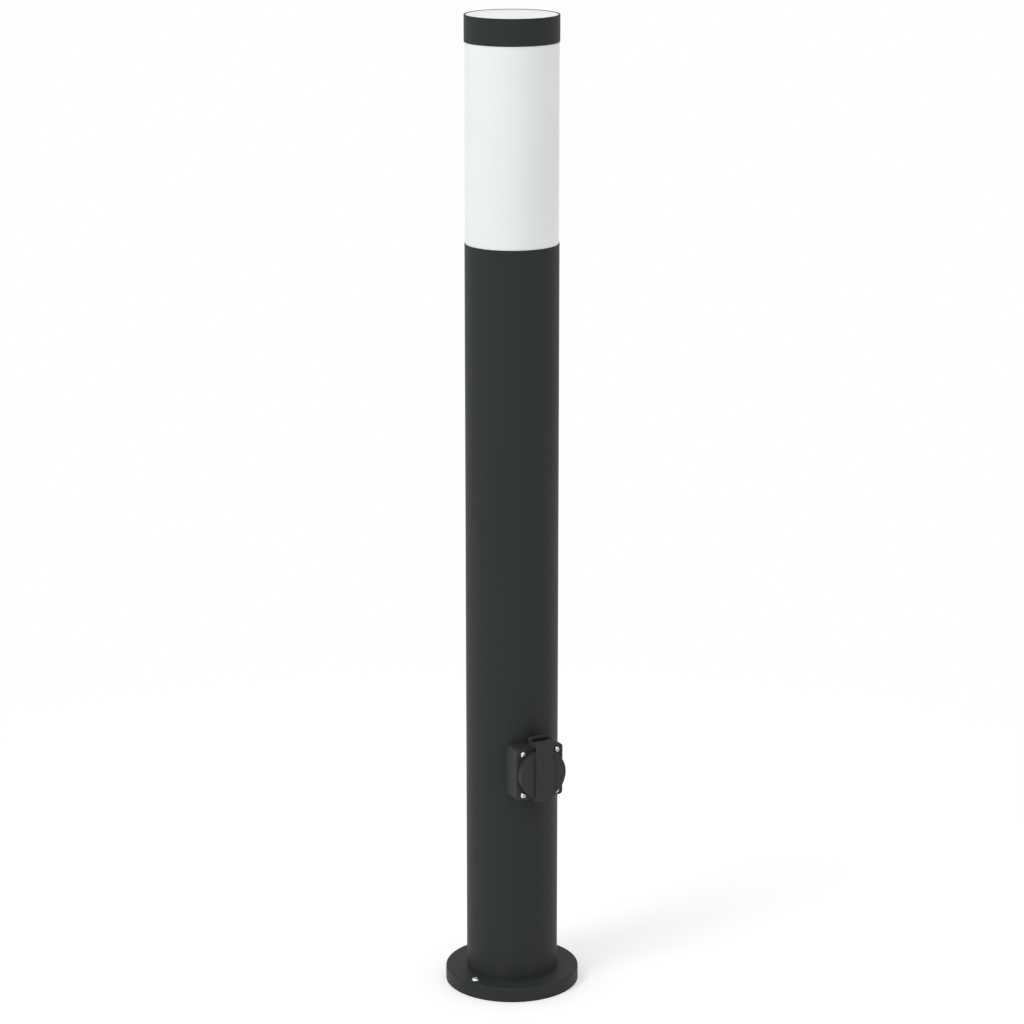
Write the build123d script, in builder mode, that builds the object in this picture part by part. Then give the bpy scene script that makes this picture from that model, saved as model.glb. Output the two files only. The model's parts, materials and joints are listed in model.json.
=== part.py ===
"""Garden socket post: a round bollard light with one flap-lid mains socket low on its front.

Millimetres. +Z is up, the origin is the centre of the foot's underside, and the socket
faces -Y. Reach means the distance in front of the tube's axis, along -Y.
"""

from build123d import *
import os
from math import atan2, cos, pi, radians, sin, sqrt, tan

os.makedirs("parts", exist_ok=True)

# Gaps and allowances
cut_over = 1.0  # how far a cut runs past the face it opens
moving_gap = 0.3  # free air between pieces that move past each other
running_gap = 0.05  # radial play of a pin in its bore, or of a seal in its sleeve
passing_gap = 0.2  # radial play of a still piece in its hole

# Foot
foot_d = 110.0
foot_h = 12.0
foot_top_t = 3.0
foot_skirt_t = 3.0
foot_edge_r = 1.6
foot_ledge_w = 4.0  # inside the tube's bore
foot_screw_count = 2
foot_screw_turn = 23.0  # degrees from +X to the first screw
foot_screw_d = 4.0
foot_screw_head_d = 6.8
foot_screw_head_h = 2.8
foot_screw_l = 9.5
foot_screw_sink = 1.5  # of the head, into the foot's top

# Ground plate inside the foot
bracket_gap = 1.0
bracket_t = 2.5
bracket_boss_d = 7.5
anchor_circle_d = 60.0
anchor_count = 3
anchor_turn = 90.0  # degrees from +X to the first anchor hole
anchor_hole_d = 7.0
entry_hole_d = 24.0

# Cable grommet in the ground plate
grommet_bore_d = 10.4
grommet_rim_w = 2.5
grommet_rim_t = 2.0
grommet_lip_r = 0.8

# Tube
tube_d = 75.0
tube_wall = 1.5
tube_top_z = 621.0

# Connector in the foot of the tube
carrier_inset = 14.0  # from the tube's bore to the carrier's front
carrier_t = 2.0
carrier_h = 80.0
block_w = 33.0
block_depth = 14.0
block_h = 20.0
block_rise = 28.0  # above the foot's top
block_edge_r = 1.0
pole_count = 3
pole_pitch = 11.0
pole_sleeve_d = 5.6
pole_sleeve_bore_d = 3.2
pole_sleeve_inset = 1.0
clamp_screw_d = 3.0
clamp_screw_l = 4.0
clamp_screw_spacing = 10.0
clamp_access_d = 3.8
block_screw_d = 2.5
block_screw_head_d = 4.6
block_screw_head_h = 1.8
block_screw_tail = 3.0
earth_screw_d = 4.0
earth_screw_head_d = 8.0
earth_screw_head_h = 2.6
earth_screw_tail = 5.0
earth_screw_inset = 14.0  # below the carrier's top

# Sheathed leads inside the tube
lead_d = 5.6
lead_x = 8.0

# Lamp head
head_band_h = 21.2
head_band_rim = 1.3
head_band_edge_r = 0.4
lamp_headroom = 98.0  # from the lamp's dome to the head's top
head_top_drop = 0.25  # the white top lies this far inside the band
diffuser_step = 0.4  # the diffuser lies this far inside the tube's outline
diffuser_wall = 2.0
diffuser_top_t = 2.2
diffuser_neck_l = 4.8  # how far the thicker wall runs below the band
press_gap = 0.02
seat_wall = 2.5
seat_l = 20.0  # spigot in the tube
seat_collar_h = 14.0
seat_collar_wall = 2.0
seat_collar_gap = 0.5  # between the collar and the diffuser
seal_wire_d = 1.6
seal_groove_h = 2.2
seal_rise = 7.0  # above the tube's mouth

# Lampholder
plate_drop = 46.0  # the plate's top below the tube's mouth
plate_t = 1.5
plate_rim_h = 10.0
holder_wall = 4.9
holder_foot_d = 28.0
holder_h = 45.0
holder_cone_h = 15.0
holder_floor_t = 6.0
holder_cavity_d = 24.0
holder_cavity_h = 11.0
nipple_d = 10.0
nipple_bore_d = 6.2
nipple_l = 13.0
nipple_blind = 3.0  # how far the nipple's bore runs up into the floor
nut_across = 15.0
nut_t = 3.0
shell_t = 0.75
thread_play = 0.35  # between the lamp's thread and the shell
shell_l = 22.0
shell_ridge = 0.5
shell_rise = 2.0  # above the cavity
shell_floor_t = 0.6
shell_floor_bore_d = 18.0
contact_t = 0.5
contact_w = 6.0
contact_foot_l = 7.0

# Lamp
lamp_thread_pitch = 3.6
lamp_thread_d = 26.4
lamp_thread_depth = 0.9
lamp_thread_count = 5
lamp_collar_h = 4.0
lamp_tip_d = 9.0
lamp_tip_t = 1.5
lamp_insulator_d = 22.0
lamp_insulator_h = 3.7
lamp_insulator_t = 1.6
lamp_air = 5.1  # between the dome and the diffuser
lamp_body_h = 41.0
lamp_skirt_h = 10.0
lamp_dome_wall = 1.2
lamp_base_gap = 1.0  # above the holder's mouth

# Socket moulding
socket_z = 196.0
flange_side_w = 1.0  # beside the cup
flange_end_w = 1.75  # above and below the cup
flange_corner_r = 3.0
flange_edge_r = 0.9
flange_standoff = 12.5  # from the tube's front to the flange's face
collar_h = 5.0
recess_d = 38.0
recess_depth = 17.5
recess_wall = 1.0
recess_floor_t = 2.5
gasket_t = 1.2
socket_screw_inset_x = 6.0  # from the flange's sides
socket_screw_inset_z = 4.45  # from the flange's top and foot
socket_screw_d = 3.0
socket_screw_l = 19.0
socket_screw_head_d = 4.9
socket_screw_head_h = 1.7

# Contacts
pin_spacing = 19.0
pin_hole_d = 5.5
contact_carrier_w = 31.0
contact_carrier_h = 19.0
contact_carrier_depth = 18.0
contact_carrier_r = 2.0
pin_sleeve_d = 6.0
pin_sleeve_bore_d = 4.9
pin_sleeve_l = 16.5
pin_sleeve_seat = 1.0  # how far the sleeves reach into the recess's floor
earth_arm_t = 0.8
earth_arm_w = 6.0
earth_arm_gap = 1.2  # between an arm and the wall of the recess
earth_arm_sink = 3.0  # from the collar's rim to the arms' tips
earth_nub_l = 5.0
earth_nub_h = 1.1
carrier_screw_d = 3.0
carrier_screw_head_d = 5.6
carrier_screw_head_h = 1.5
carrier_screw_l = 10.0

# Lid and hinge
band_w = 15.4
band_proud = 2.3  # in front of the lid's face
band_above_pivot = 3.6
band_tab = 1.3  # below the lid's rim
band_neck_t = 1.7
band_neck_inset = 1.2  # from the lid's rim in to the foot of the neck
band_edge_r = 0.7
band_top_r = 1.4
lid_overhang = 0.2  # outside the collar
lid_lift = 0.5  # from the collar's rim to the lid's back
lid_t = 1.7
lid_edge_r = 0.7
lid_seal_inset = 0.1  # inside the collar's outline
lid_seal_w = 2.1
lid_seal_groove = 0.5
lid_seal_t = 0.8
pivot_above_lid = 5.6
pin_d = 2.5
knuckle_d = 4.8
ear_t = 2.5
ear_root_drop = 1.2  # from the knuckle's top to the top of the ears' roots
spring_room_w = 5.8
tower_depth = 10.3
tower_above_pivot = 4.2
tower_sweep_r = 5.5
tower_edge_r = 0.6
pin_inset = 0.2
spring_wire_d = 0.5
spring_d = 3.9  # mean diameter
spring_pitch = 0.62
spring_turns = 4.25
spring_back_leg_l = 4.9
spring_front_leg_l = 5.0

# Shares
screw_round_share = 0.55  # rounding of a pan head, of its height
cross_length_share = 0.6  # of the head's diameter
cross_width_share = 0.16
cross_depth_share = 0.6  # of the head's height

# Derived radii and levels
foot_r = foot_d / 2
tube_r = tube_d / 2
tube_bore_r = tube_r - tube_wall
foot_opening_r = tube_bore_r - foot_ledge_w
foot_screw_r = (tube_r + foot_r) / 2
bracket_r = foot_r - foot_skirt_t - bracket_gap
carrier_base_z = foot_h
earth_screw_z = carrier_base_z + carrier_h - earth_screw_inset
carrier_front_y = tube_bore_r - carrier_inset
block_base_z = foot_h + block_rise
block_top_z = block_base_z + block_h
block_front_y = carrier_front_y - block_depth
block_mid_y = carrier_front_y - block_depth / 2
plate_top_z = tube_top_z - plate_drop
holder_top_z = plate_top_z + holder_h
shell_bore_d = lamp_thread_d + 2 * thread_play
shell_d = shell_bore_d + 2 * shell_t
holder_bore_d = shell_d + 2 * moving_gap
holder_d = holder_bore_d + 2 * holder_wall
cavity_floor_z = plate_top_z + holder_floor_t
cavity_top_z = cavity_floor_z + holder_cavity_h
flange_reach = tube_r + flange_standoff
collar_reach = flange_reach + collar_h
recess_floor_reach = collar_reach - recess_depth
recess_back_reach = recess_floor_reach - recess_floor_t
sunk_head_reach = recess_floor_reach - carrier_screw_head_h
pin_sleeve_reach = recess_back_reach + pin_sleeve_seat
recess_r = recess_d / 2
cup_r = recess_r + recess_wall
cup_hole_r = cup_r + passing_gap
flange_w = 2 * (cup_r + flange_side_w)
flange_h = 2 * (cup_r + flange_end_w)
earth_arm_reach = collar_reach - earth_arm_sink
lid_r = cup_r + lid_overhang
lid_back_reach = collar_reach + lid_lift
lid_front_reach = lid_back_reach + lid_t
lid_seal_r = cup_r - lid_seal_inset
lid_seal_bore_r = lid_seal_r - lid_seal_w
band_reach = lid_front_reach + band_proud
band_foot = lid_r + band_tab
pivot_reach = collar_reach
pivot_rise = lid_r + pivot_above_lid
band_top = pivot_rise + band_above_pivot
tower_back_reach = pivot_reach - tower_depth
tower_rise = pivot_rise + tower_above_pivot
gasket_r = tube_r + gasket_t
carrier_back_reach = recess_back_reach - contact_carrier_depth
pivot_z = socket_z + pivot_rise
diffuser_r = tube_r - diffuser_step
diffuser_bore_r = diffuser_r - diffuser_wall
lamp_collar_top_z = holder_top_z + lamp_base_gap
lamp_widest_z = lamp_collar_top_z + lamp_body_h
dome_r = diffuser_bore_r - lamp_air
dome_base_z = lamp_widest_z + lamp_skirt_h
head_top_z = dome_base_z + dome_r + lamp_headroom
band_base_z = head_top_z - head_band_h


def front_plane(reach, height):
    """A plane that faces -Y, with its x along +X and its y along +Z."""
    return Plane(origin=(0, -reach, height), x_dir=(1, 0, 0), z_dir=(0, -1, 0))


def socket_plane(reach):
    return front_plane(reach, socket_z)


def turned(points):
    """Adds the body that an outline of (radius, height) points sweeps about the post's axis."""
    with BuildSketch(Plane.XZ) as section:
        with BuildLine():
            Polyline(*points, close=True)
        make_face()
    revolve(section.sketch, axis=Axis.Z)


def pan_screws(plane, spots, shank_d, shank_l, head_d, head_h):
    """Adds cross-head screws whose heads stand on the plane, and whose shanks run back from it."""
    with BuildSketch(plane) as heads:
        with Locations(*spots):
            Circle(head_d / 2)
    extrude(heads.sketch, amount=head_h)
    outward = Axis(plane.origin, plane.z_dir)
    fillet(edges().group_by(outward)[-1], radius=head_h * screw_round_share)
    with BuildSketch(plane) as shanks:
        with Locations(*spots):
            Circle(shank_d / 2)
    extrude(shanks.sketch, amount=-shank_l)
    with BuildSketch(plane.offset(head_h)) as crosses:
        with Locations(*spots):
            Rectangle(head_d * cross_length_share, head_d * cross_width_share)
            Rectangle(head_d * cross_width_share, head_d * cross_length_share)
    extrude(crosses.sketch, amount=-head_h * cross_depth_share, mode=Mode.SUBTRACT)


def corner_radii(points, radius_share=0.45):
    """The radius at each inner point of a route: as large as the two runs beside it allow."""
    radii = []
    for before, here, after in zip(points, points[1:], points[2:]):
        run_in = Vector(*here) - Vector(*before)
        run_out = Vector(*after) - Vector(*here)
        shorter = min(run_in.length, run_out.length)
        half_turn = radians(run_in.get_angle(run_out) / 2)
        radii.append(radius_share * shorter / tan(half_turn))
    return radii


def lead(route):
    """Adds a sheathed lead along a route of points."""
    radii = corner_radii(route)
    with BuildLine() as line:
        FilletPolyline(*route, radius=radii)
    path = line.wire()
    with BuildSketch(Plane(origin=path @ 0, z_dir=path % 0)) as section:
        Circle(lead_d / 2)
    sweep(section.sketch, path=path)
    return radii, path.length


# Foot: a shallow inverted dish with an opening for the cable
with BuildPart() as base_flange:
    turned(
        [
            (foot_opening_r, foot_h),
            (foot_r, foot_h),
            (foot_r, 0),
            (foot_r - foot_skirt_t, 0),
            (foot_r - foot_skirt_t, foot_h - foot_top_t),
            (foot_opening_r, foot_h - foot_top_t),
        ]
    )
    top_edges = edges().filter_by(GeomType.CIRCLE).group_by(Axis.Z)[-1]
    fillet(top_edges.sort_by(SortBy.RADIUS)[-1], radius=foot_edge_r)
    with Locations(Plane.XY.offset(foot_h)):
        with PolarLocations(foot_screw_r, foot_screw_count, foot_screw_turn):
            CounterBoreHole(
                radius=foot_screw_d / 2 + passing_gap,
                counter_bore_radius=foot_screw_head_d / 2 + passing_gap,
                counter_bore_depth=foot_screw_sink,
            )
base_flange.part.label = "base_flange"
export_step(base_flange.part, "parts/base_flange.step")

# Ground plate: anchored to the ground, with a threaded boss for each foot screw
with BuildPart() as mounting_bracket:
    with BuildSketch():
        Circle(bracket_r)
        Circle(entry_hole_d / 2, mode=Mode.SUBTRACT)
        with PolarLocations(anchor_circle_d / 2, anchor_count, anchor_turn):
            Circle(anchor_hole_d / 2, mode=Mode.SUBTRACT)
    extrude(amount=bracket_t)
    with BuildSketch(Plane.XY.offset(bracket_t)):
        with PolarLocations(foot_screw_r, foot_screw_count, foot_screw_turn):
            Circle(bracket_boss_d / 2)
    extrude(amount=foot_h - foot_top_t - bracket_t)
    with Locations(Plane.XY.offset(foot_h - foot_top_t)):
        with PolarLocations(foot_screw_r, foot_screw_count, foot_screw_turn):
            Hole(radius=foot_screw_d / 2 + running_gap)
mounting_bracket.part.label = "mounting_bracket"
export_step(mounting_bracket.part, "parts/mounting_bracket.step")

# Foot screws: sunk in the top of the foot, down into the bosses
foot_screw_spots = [
    (foot_screw_r * cos(radians(turn)), foot_screw_r * sin(radians(turn)))
    for turn in [foot_screw_turn + n * 360 / foot_screw_count for n in range(foot_screw_count)]
]
with BuildPart() as base_screws:
    pan_screws(
        Plane.XY.offset(foot_h - foot_screw_sink),
        foot_screw_spots,
        foot_screw_d,
        foot_screw_l,
        foot_screw_head_d,
        foot_screw_head_h,
    )
base_screws.part.label = "base_screws"
export_step(base_screws.part, "parts/base_screws.step")

# Grommet: neck in the ground plate's opening, rim on top of the plate
grommet_top_z = bracket_t + grommet_rim_t
with BuildPart() as cable_grommet:
    turned(
        [
            (grommet_bore_d / 2, 0),
            (entry_hole_d / 2, 0),
            (entry_hole_d / 2, bracket_t),
            (entry_hole_d / 2 + grommet_rim_w, bracket_t),
            (entry_hole_d / 2 + grommet_rim_w, grommet_top_z),
            (grommet_bore_d / 2, grommet_top_z),
        ]
    )
    rim_edges = edges().filter_by(GeomType.CIRCLE).group_by(Axis.Z)[-1]
    fillet(rim_edges.sort_by(SortBy.RADIUS)[-1], radius=grommet_lip_r)
cable_grommet.part.label = "cable_grommet"
export_step(cable_grommet.part, "parts/cable_grommet.step")

# Tube: stands on the foot, open at both ends, cut out behind the socket
socket_screw_spots = [
    (side * (flange_w / 2 - socket_screw_inset_x), level * (flange_h / 2 - socket_screw_inset_z))
    for side in (-1, 1)
    for level in (-1, 1)
]
with BuildPart() as post_tube:
    with BuildSketch(Plane.XY.offset(foot_h)):
        Circle(tube_r)
        Circle(tube_bore_r, mode=Mode.SUBTRACT)
    extrude(amount=tube_top_z - foot_h)
    with BuildSketch(socket_plane(0)):
        Circle(cup_hole_r)
        with Locations(*socket_screw_spots):
            Circle(socket_screw_d / 2 + running_gap)
    extrude(amount=tube_r + cut_over, mode=Mode.SUBTRACT)
post_tube.part.label = "post_tube"
export_step(post_tube.part, "parts/post_tube.step")

# Connector carrier: a plate across the tube, standing on the foot's inner ledge
block_screw_spots = [(-pole_pitch / 2, block_h / 2), (pole_pitch / 2, block_h / 2)]
with BuildPart() as terminal_carrier:
    with BuildSketch(Plane.XY.offset(carrier_base_z)):
        Circle(tube_bore_r)
        with Locations((0, carrier_front_y + carrier_t / 2)):
            Rectangle(tube_d, carrier_t, mode=Mode.INTERSECT)
    extrude(amount=carrier_h)
    with BuildSketch(front_plane(-carrier_front_y, block_base_z)):
        with Locations(*block_screw_spots):
            Circle(block_screw_d / 2 + running_gap)
    extrude(amount=-carrier_t, mode=Mode.SUBTRACT)
    with BuildSketch(front_plane(-carrier_front_y, earth_screw_z)):
        Circle(earth_screw_d / 2 + running_gap)
    extrude(amount=-carrier_t, mode=Mode.SUBTRACT)
terminal_carrier.part.label = "terminal_carrier"
export_step(terminal_carrier.part, "parts/terminal_carrier.step")

# Connector body: one bore for each pole, with two screw openings in front of each
pole_spots = [(pole_pitch * (n - (pole_count - 1) / 2), 0) for n in range(pole_count)]
clamp_spots = [
    (x, block_h / 2 + level * clamp_screw_spacing / 2) for x, _ in pole_spots for level in (-1, 1)
]
with BuildPart() as terminal_block:
    with BuildSketch(Plane.XY.offset(block_base_z)):
        with Locations((0, block_mid_y)):
            Rectangle(block_w, block_depth)
    extrude(amount=block_h)
    front_edges = edges().group_by(Axis.Y)[0]
    fillet(front_edges, radius=block_edge_r)
    with BuildSketch(Plane.XY.offset(block_base_z)):
        with Locations(*[(x, block_mid_y) for x, _ in pole_spots]):
            Circle(pole_sleeve_d / 2 + running_gap)
    extrude(amount=block_h, mode=Mode.SUBTRACT)
    with BuildSketch(front_plane(-block_mid_y, block_base_z)):
        with Locations(*clamp_spots):
            Circle(clamp_access_d / 2)
    extrude(amount=block_depth, mode=Mode.SUBTRACT)
    with BuildSketch(front_plane(-carrier_front_y, block_base_z)):
        with Locations(*block_screw_spots):
            Circle(block_screw_d / 2 + running_gap)
    extrude(amount=block_depth, mode=Mode.SUBTRACT)
terminal_block.part.label = "terminal_block"
export_step(terminal_block.part, "parts/terminal_block.step")

# Brass sleeves in the connector
sleeve_l = block_h - 2 * pole_sleeve_inset
with BuildPart() as terminal_sleeves:
    with BuildSketch(Plane.XY.offset(block_base_z + pole_sleeve_inset)):
        with Locations(*[(x, block_mid_y) for x, _ in pole_spots]):
            Circle(pole_sleeve_d / 2)
            Circle(pole_sleeve_bore_d / 2, mode=Mode.SUBTRACT)
    extrude(amount=sleeve_l)
    with BuildSketch(front_plane(-block_mid_y, block_base_z)):
        with Locations(*clamp_spots):
            Circle(clamp_screw_d / 2 + running_gap)
    extrude(amount=block_depth, mode=Mode.SUBTRACT)
terminal_sleeves.part.label = "terminal_sleeves"
export_step(terminal_sleeves.part, "parts/terminal_sleeves.step")

# Clamping screws: their tips reach into the sleeves' bores
clamp_tip_y = block_mid_y - pole_sleeve_bore_d / 4
with BuildPart() as terminal_screws:
    with BuildSketch(front_plane(-clamp_tip_y, block_base_z)):
        with Locations(*clamp_spots):
            Circle(clamp_screw_d / 2)
    extrude(amount=clamp_screw_l)
    with BuildSketch(front_plane(-clamp_tip_y + clamp_screw_l, block_base_z)):
        with Locations(*clamp_spots):
            Rectangle(clamp_screw_d, clamp_screw_d * cross_width_share)
    extrude(amount=-clamp_screw_d * cross_width_share, mode=Mode.SUBTRACT)
terminal_screws.part.label = "terminal_screws"
export_step(terminal_screws.part, "parts/terminal_screws.step")

# Screws that hold the connector to its carrier
with BuildPart() as block_screws:
    pan_screws(
        front_plane(-block_front_y, block_base_z),
        block_screw_spots,
        block_screw_d,
        block_depth + carrier_t + block_screw_tail,
        block_screw_head_d,
        block_screw_head_h,
    )
block_screws.part.label = "block_screws"
export_step(block_screws.part, "parts/block_screws.step")

# Protective earth screw in the carrier
with BuildPart() as earth_screw:
    pan_screws(
        front_plane(-carrier_front_y, earth_screw_z),
        [(0, 0)],
        earth_screw_d,
        carrier_t + earth_screw_tail,
        earth_screw_head_d,
        earth_screw_head_h,
    )
earth_screw.part.label = "earth_screw"
export_step(earth_screw.part, "parts/earth_screw.step")

# Lead to the lamp: up behind the socket and into the lampholder's nipple
nipple_bore_top_z = plate_top_z + nipple_blind
lamp_route = [
    (-lead_x, block_mid_y, block_top_z),
    (-lead_x, block_mid_y, 112),
    (-9.8, 13.2, 188),
    (-8.2, 12.4, 268),
    (-6.4, 14.2, 345),
    (-7.4, 12.6, 420),
    (-4.6, 8.8, 480),
    (-1.2, 2.6, 524),
    (0, 0, 552),
    (0, 0, nipple_bore_top_z),
]
with BuildPart() as lamp_lead:
    lamp_radii, lamp_length = lead(lamp_route)
lamp_lead.part.label = "lamp_lead"
export_step(lamp_lead.part, "parts/lamp_lead.step")

# Lead to the socket: forward and up into the underside of the contact carrier
socket_lead_reach = (recess_back_reach + carrier_back_reach) / 2
socket_route = [
    (lead_x, block_mid_y, block_top_z),
    (lead_x, block_mid_y, 80),
    (8.4, 6.2, 110),
    (8.9, -11.8, 136),
    (pin_spacing / 2, -socket_lead_reach, 160),
    (pin_spacing / 2, -socket_lead_reach, socket_z - contact_carrier_h / 2),
]
with BuildPart() as socket_lead:
    socket_radii, socket_length = lead(socket_route)
socket_lead.part.label = "socket_lead"
export_step(socket_lead.part, "parts/socket_lead.step")
for name, radii, length, solid in (
    ("lamp_lead", lamp_radii, lamp_length, lamp_lead.part),
    ("socket_lead", socket_radii, socket_length, socket_lead.part),
):
    section = pi * lead_d**2 / 4
    print(name, "radii", [round(r, 1) for r in radii], "length", round(length, 1))
    print(name, "volume over section times length", round(solid.volume / section / length, 5))

# Lamp plate: a pressed disc with a rim turned down, fixed in the tube
with BuildPart() as lamp_plate:
    turned(
        [
            (nipple_d / 2 + passing_gap, plate_top_z),
            (tube_bore_r, plate_top_z),
            (tube_bore_r, plate_top_z - plate_rim_h),
            (tube_bore_r - plate_t, plate_top_z - plate_rim_h),
            (tube_bore_r - plate_t, plate_top_z - plate_t),
            (nipple_d / 2 + passing_gap, plate_top_z - plate_t),
        ]
    )
lamp_plate.part.label = "lamp_plate"
export_step(lamp_plate.part, "parts/lamp_plate.step")

# Lampholder body with its nipple
with BuildPart() as lampholder:
    turned(
        [
            (nipple_bore_d / 2, plate_top_z - nipple_l),
            (nipple_d / 2, plate_top_z - nipple_l),
            (nipple_d / 2, plate_top_z),
            (holder_foot_d / 2, plate_top_z),
            (holder_d / 2, plate_top_z + holder_cone_h),
            (holder_d / 2, holder_top_z),
            (holder_bore_d / 2, holder_top_z),
            (holder_bore_d / 2, cavity_top_z),
            (holder_cavity_d / 2, cavity_top_z),
            (holder_cavity_d / 2, cavity_floor_z),
            (0, cavity_floor_z),
            (0, nipple_bore_top_z),
            (nipple_bore_d / 2, nipple_bore_top_z),
        ]
    )
lampholder.part.label = "lampholder"
export_step(lampholder.part, "parts/lampholder.step")

# Nut under the lamp plate
with BuildPart() as holder_nut:
    with BuildSketch(Plane.XY.offset(plate_top_z - plate_t - nut_t)):
        RegularPolygon(nut_across / 2, 6, major_radius=False)
        Circle(nipple_d / 2 + running_gap, mode=Mode.SUBTRACT)
    extrude(amount=nut_t)
holder_nut.part.label = "holder_nut"
export_step(holder_nut.part, "parts/holder_nut.step")

# Metal shell that takes the lamp's thread
shell_base_z = cavity_top_z + shell_rise
shell_ridge_count = lamp_thread_count + 1
shell_ridge_pitch = shell_l / shell_ridge_count
shell_inner = shell_bore_d / 2
shell_outer = shell_d / 2
shell_outline = [(shell_floor_bore_d / 2, cavity_top_z), (shell_outer, cavity_top_z)]
for ridge in range(shell_ridge_count):
    ridge_z = shell_base_z + ridge * shell_ridge_pitch
    shell_outline.append((shell_outer, ridge_z))
    shell_outline.append((shell_outer - shell_ridge, ridge_z + shell_ridge_pitch / 2))
shell_outline += [
    (shell_outer, shell_base_z + shell_l),
    (shell_inner, shell_base_z + shell_l),
    (shell_inner, cavity_top_z + shell_floor_t),
    (shell_floor_bore_d / 2, cavity_top_z + shell_floor_t),
]
with BuildPart() as holder_shell:
    turned(shell_outline)
holder_shell.part.label = "holder_shell"
export_step(holder_shell.part, "parts/holder_shell.step")

# Lamp levels: its tip rests on the centre contact
lamp_thread_top_z = lamp_collar_top_z - lamp_collar_h
lamp_thread_base_z = lamp_thread_top_z - lamp_thread_count * lamp_thread_pitch
lamp_tip_top_z = lamp_thread_base_z - lamp_insulator_h
lamp_tip_base_z = lamp_tip_top_z - lamp_tip_t

# Centre contact: a bent strip from the cavity's floor up to the lamp's tip
contact_end_x = lamp_tip_d / 2
contact_start_x = moving_gap - sqrt((holder_cavity_d / 2) ** 2 - (contact_w / 2) ** 2)
contact_crest_z = lamp_tip_base_z - running_gap
with BuildPart() as holder_contact:
    with BuildSketch(Plane.XZ.offset(-contact_w / 2)):
        with BuildLine():
            Polyline(
                (contact_start_x, cavity_floor_z),
                (contact_start_x + contact_foot_l, cavity_floor_z),
                (-contact_t, contact_crest_z - contact_t),
                (contact_end_x, contact_crest_z - contact_t),
                (contact_end_x, contact_crest_z),
                (-contact_t, contact_crest_z),
                (contact_start_x + contact_foot_l - contact_t, cavity_floor_z + contact_t),
                (contact_start_x, cavity_floor_z + contact_t),
                close=True,
            )
        make_face()
    extrude(amount=contact_w)
holder_contact.part.label = "holder_contact"
export_step(holder_contact.part, "parts/holder_contact.step")

# Screw cap of the lamp, with its thread as a row of rings
thread_crest = lamp_thread_d / 2
thread_root = thread_crest - lamp_thread_depth
cap_outline = [(lamp_insulator_d / 2 - lamp_insulator_t, lamp_thread_base_z)]
cap_outline.append((thread_root, lamp_thread_base_z))
for ring in range(lamp_thread_count):
    ring_z = lamp_thread_base_z + ring * lamp_thread_pitch
    cap_outline.append((thread_crest, ring_z + lamp_thread_pitch / 2))
    cap_outline.append((thread_root, ring_z + lamp_thread_pitch))
cap_outline += [
    (thread_crest, lamp_thread_top_z + lamp_thread_depth),
    (thread_crest, lamp_collar_top_z),
    (lamp_insulator_d / 2 - lamp_insulator_t, lamp_collar_top_z),
]
with BuildPart() as bulb_base:
    turned(cap_outline)
bulb_base.part.label = "bulb_base"
export_step(bulb_base.part, "parts/bulb_base.step")

# Tip of the lamp with its insulating cone
with BuildPart() as bulb_tip:
    turned(
        [
            (0, lamp_tip_base_z),
            (lamp_tip_d / 2, lamp_tip_base_z),
            (lamp_tip_d / 2, lamp_tip_top_z),
            (lamp_insulator_d / 2, lamp_thread_base_z),
            (0, lamp_thread_base_z),
        ]
    )
bulb_tip.part.label = "bulb_tip"
export_step(bulb_tip.part, "parts/bulb_tip.step")

# White housing of the lamp, widening from the cap to the dome
with BuildPart() as bulb_body:
    with BuildSketch(Plane.XZ):
        with BuildLine():
            foot_edge = Line((0, lamp_collar_top_z), (thread_crest, lamp_collar_top_z))
            flank = TangentArc(
                foot_edge @ 1, (dome_r, lamp_widest_z), tangent=(0, 1)
            )
            Line(flank @ 1, (0, lamp_widest_z))
            Line((0, lamp_widest_z), foot_edge @ 0)
        make_face()
    revolve(axis=Axis.Z)
bulb_body.part.label = "bulb_body"
export_step(bulb_body.part, "parts/bulb_body.step")

# Opal dome of the lamp
dome_inner_r = dome_r - lamp_dome_wall
with BuildPart() as bulb_globe:
    with BuildSketch(Plane.XZ):
        with BuildLine():
            Line((dome_r, lamp_widest_z), (dome_r, dome_base_z))
            CenterArc((0, dome_base_z), dome_r, 0, 90)
            Line((0, dome_base_z + dome_r), (0, dome_base_z + dome_inner_r))
            CenterArc((0, dome_base_z), dome_inner_r, 0, 90)
            Line((dome_inner_r, dome_base_z), (dome_inner_r, lamp_widest_z))
            Line((dome_inner_r, lamp_widest_z), (dome_r, lamp_widest_z))
        make_face()
    revolve(axis=Axis.Z)
bulb_globe.part.label = "bulb_globe"
export_step(bulb_globe.part, "parts/bulb_globe.step")

# Seat in the tube's mouth, with a collar inside the diffuser and a groove for the seal
seat_collar_r = diffuser_bore_r - seat_collar_gap
groove_floor_r = diffuser_bore_r - running_gap - seal_wire_d
seal_z = tube_top_z + seal_rise
with BuildPart() as head_seat:
    turned(
        [
            (tube_bore_r - seat_wall, tube_top_z - seat_l),
            (tube_bore_r, tube_top_z - seat_l),
            (tube_bore_r, tube_top_z),
            (seat_collar_r, tube_top_z),
            (seat_collar_r, seal_z - seal_groove_h / 2),
            (groove_floor_r, seal_z - seal_groove_h / 2),
            (groove_floor_r, seal_z + seal_groove_h / 2),
            (seat_collar_r, seal_z + seal_groove_h / 2),
            (seat_collar_r, tube_top_z + seat_collar_h),
            (seat_collar_r - seat_collar_wall, tube_top_z + seat_collar_h),
            (seat_collar_r - seat_collar_wall, tube_top_z - seat_collar_wall),
            (tube_bore_r - seat_wall, tube_top_z - 2 * seat_collar_wall),
        ]
    )
head_seat.part.label = "head_seat"
export_step(head_seat.part, "parts/head_seat.step")

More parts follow.
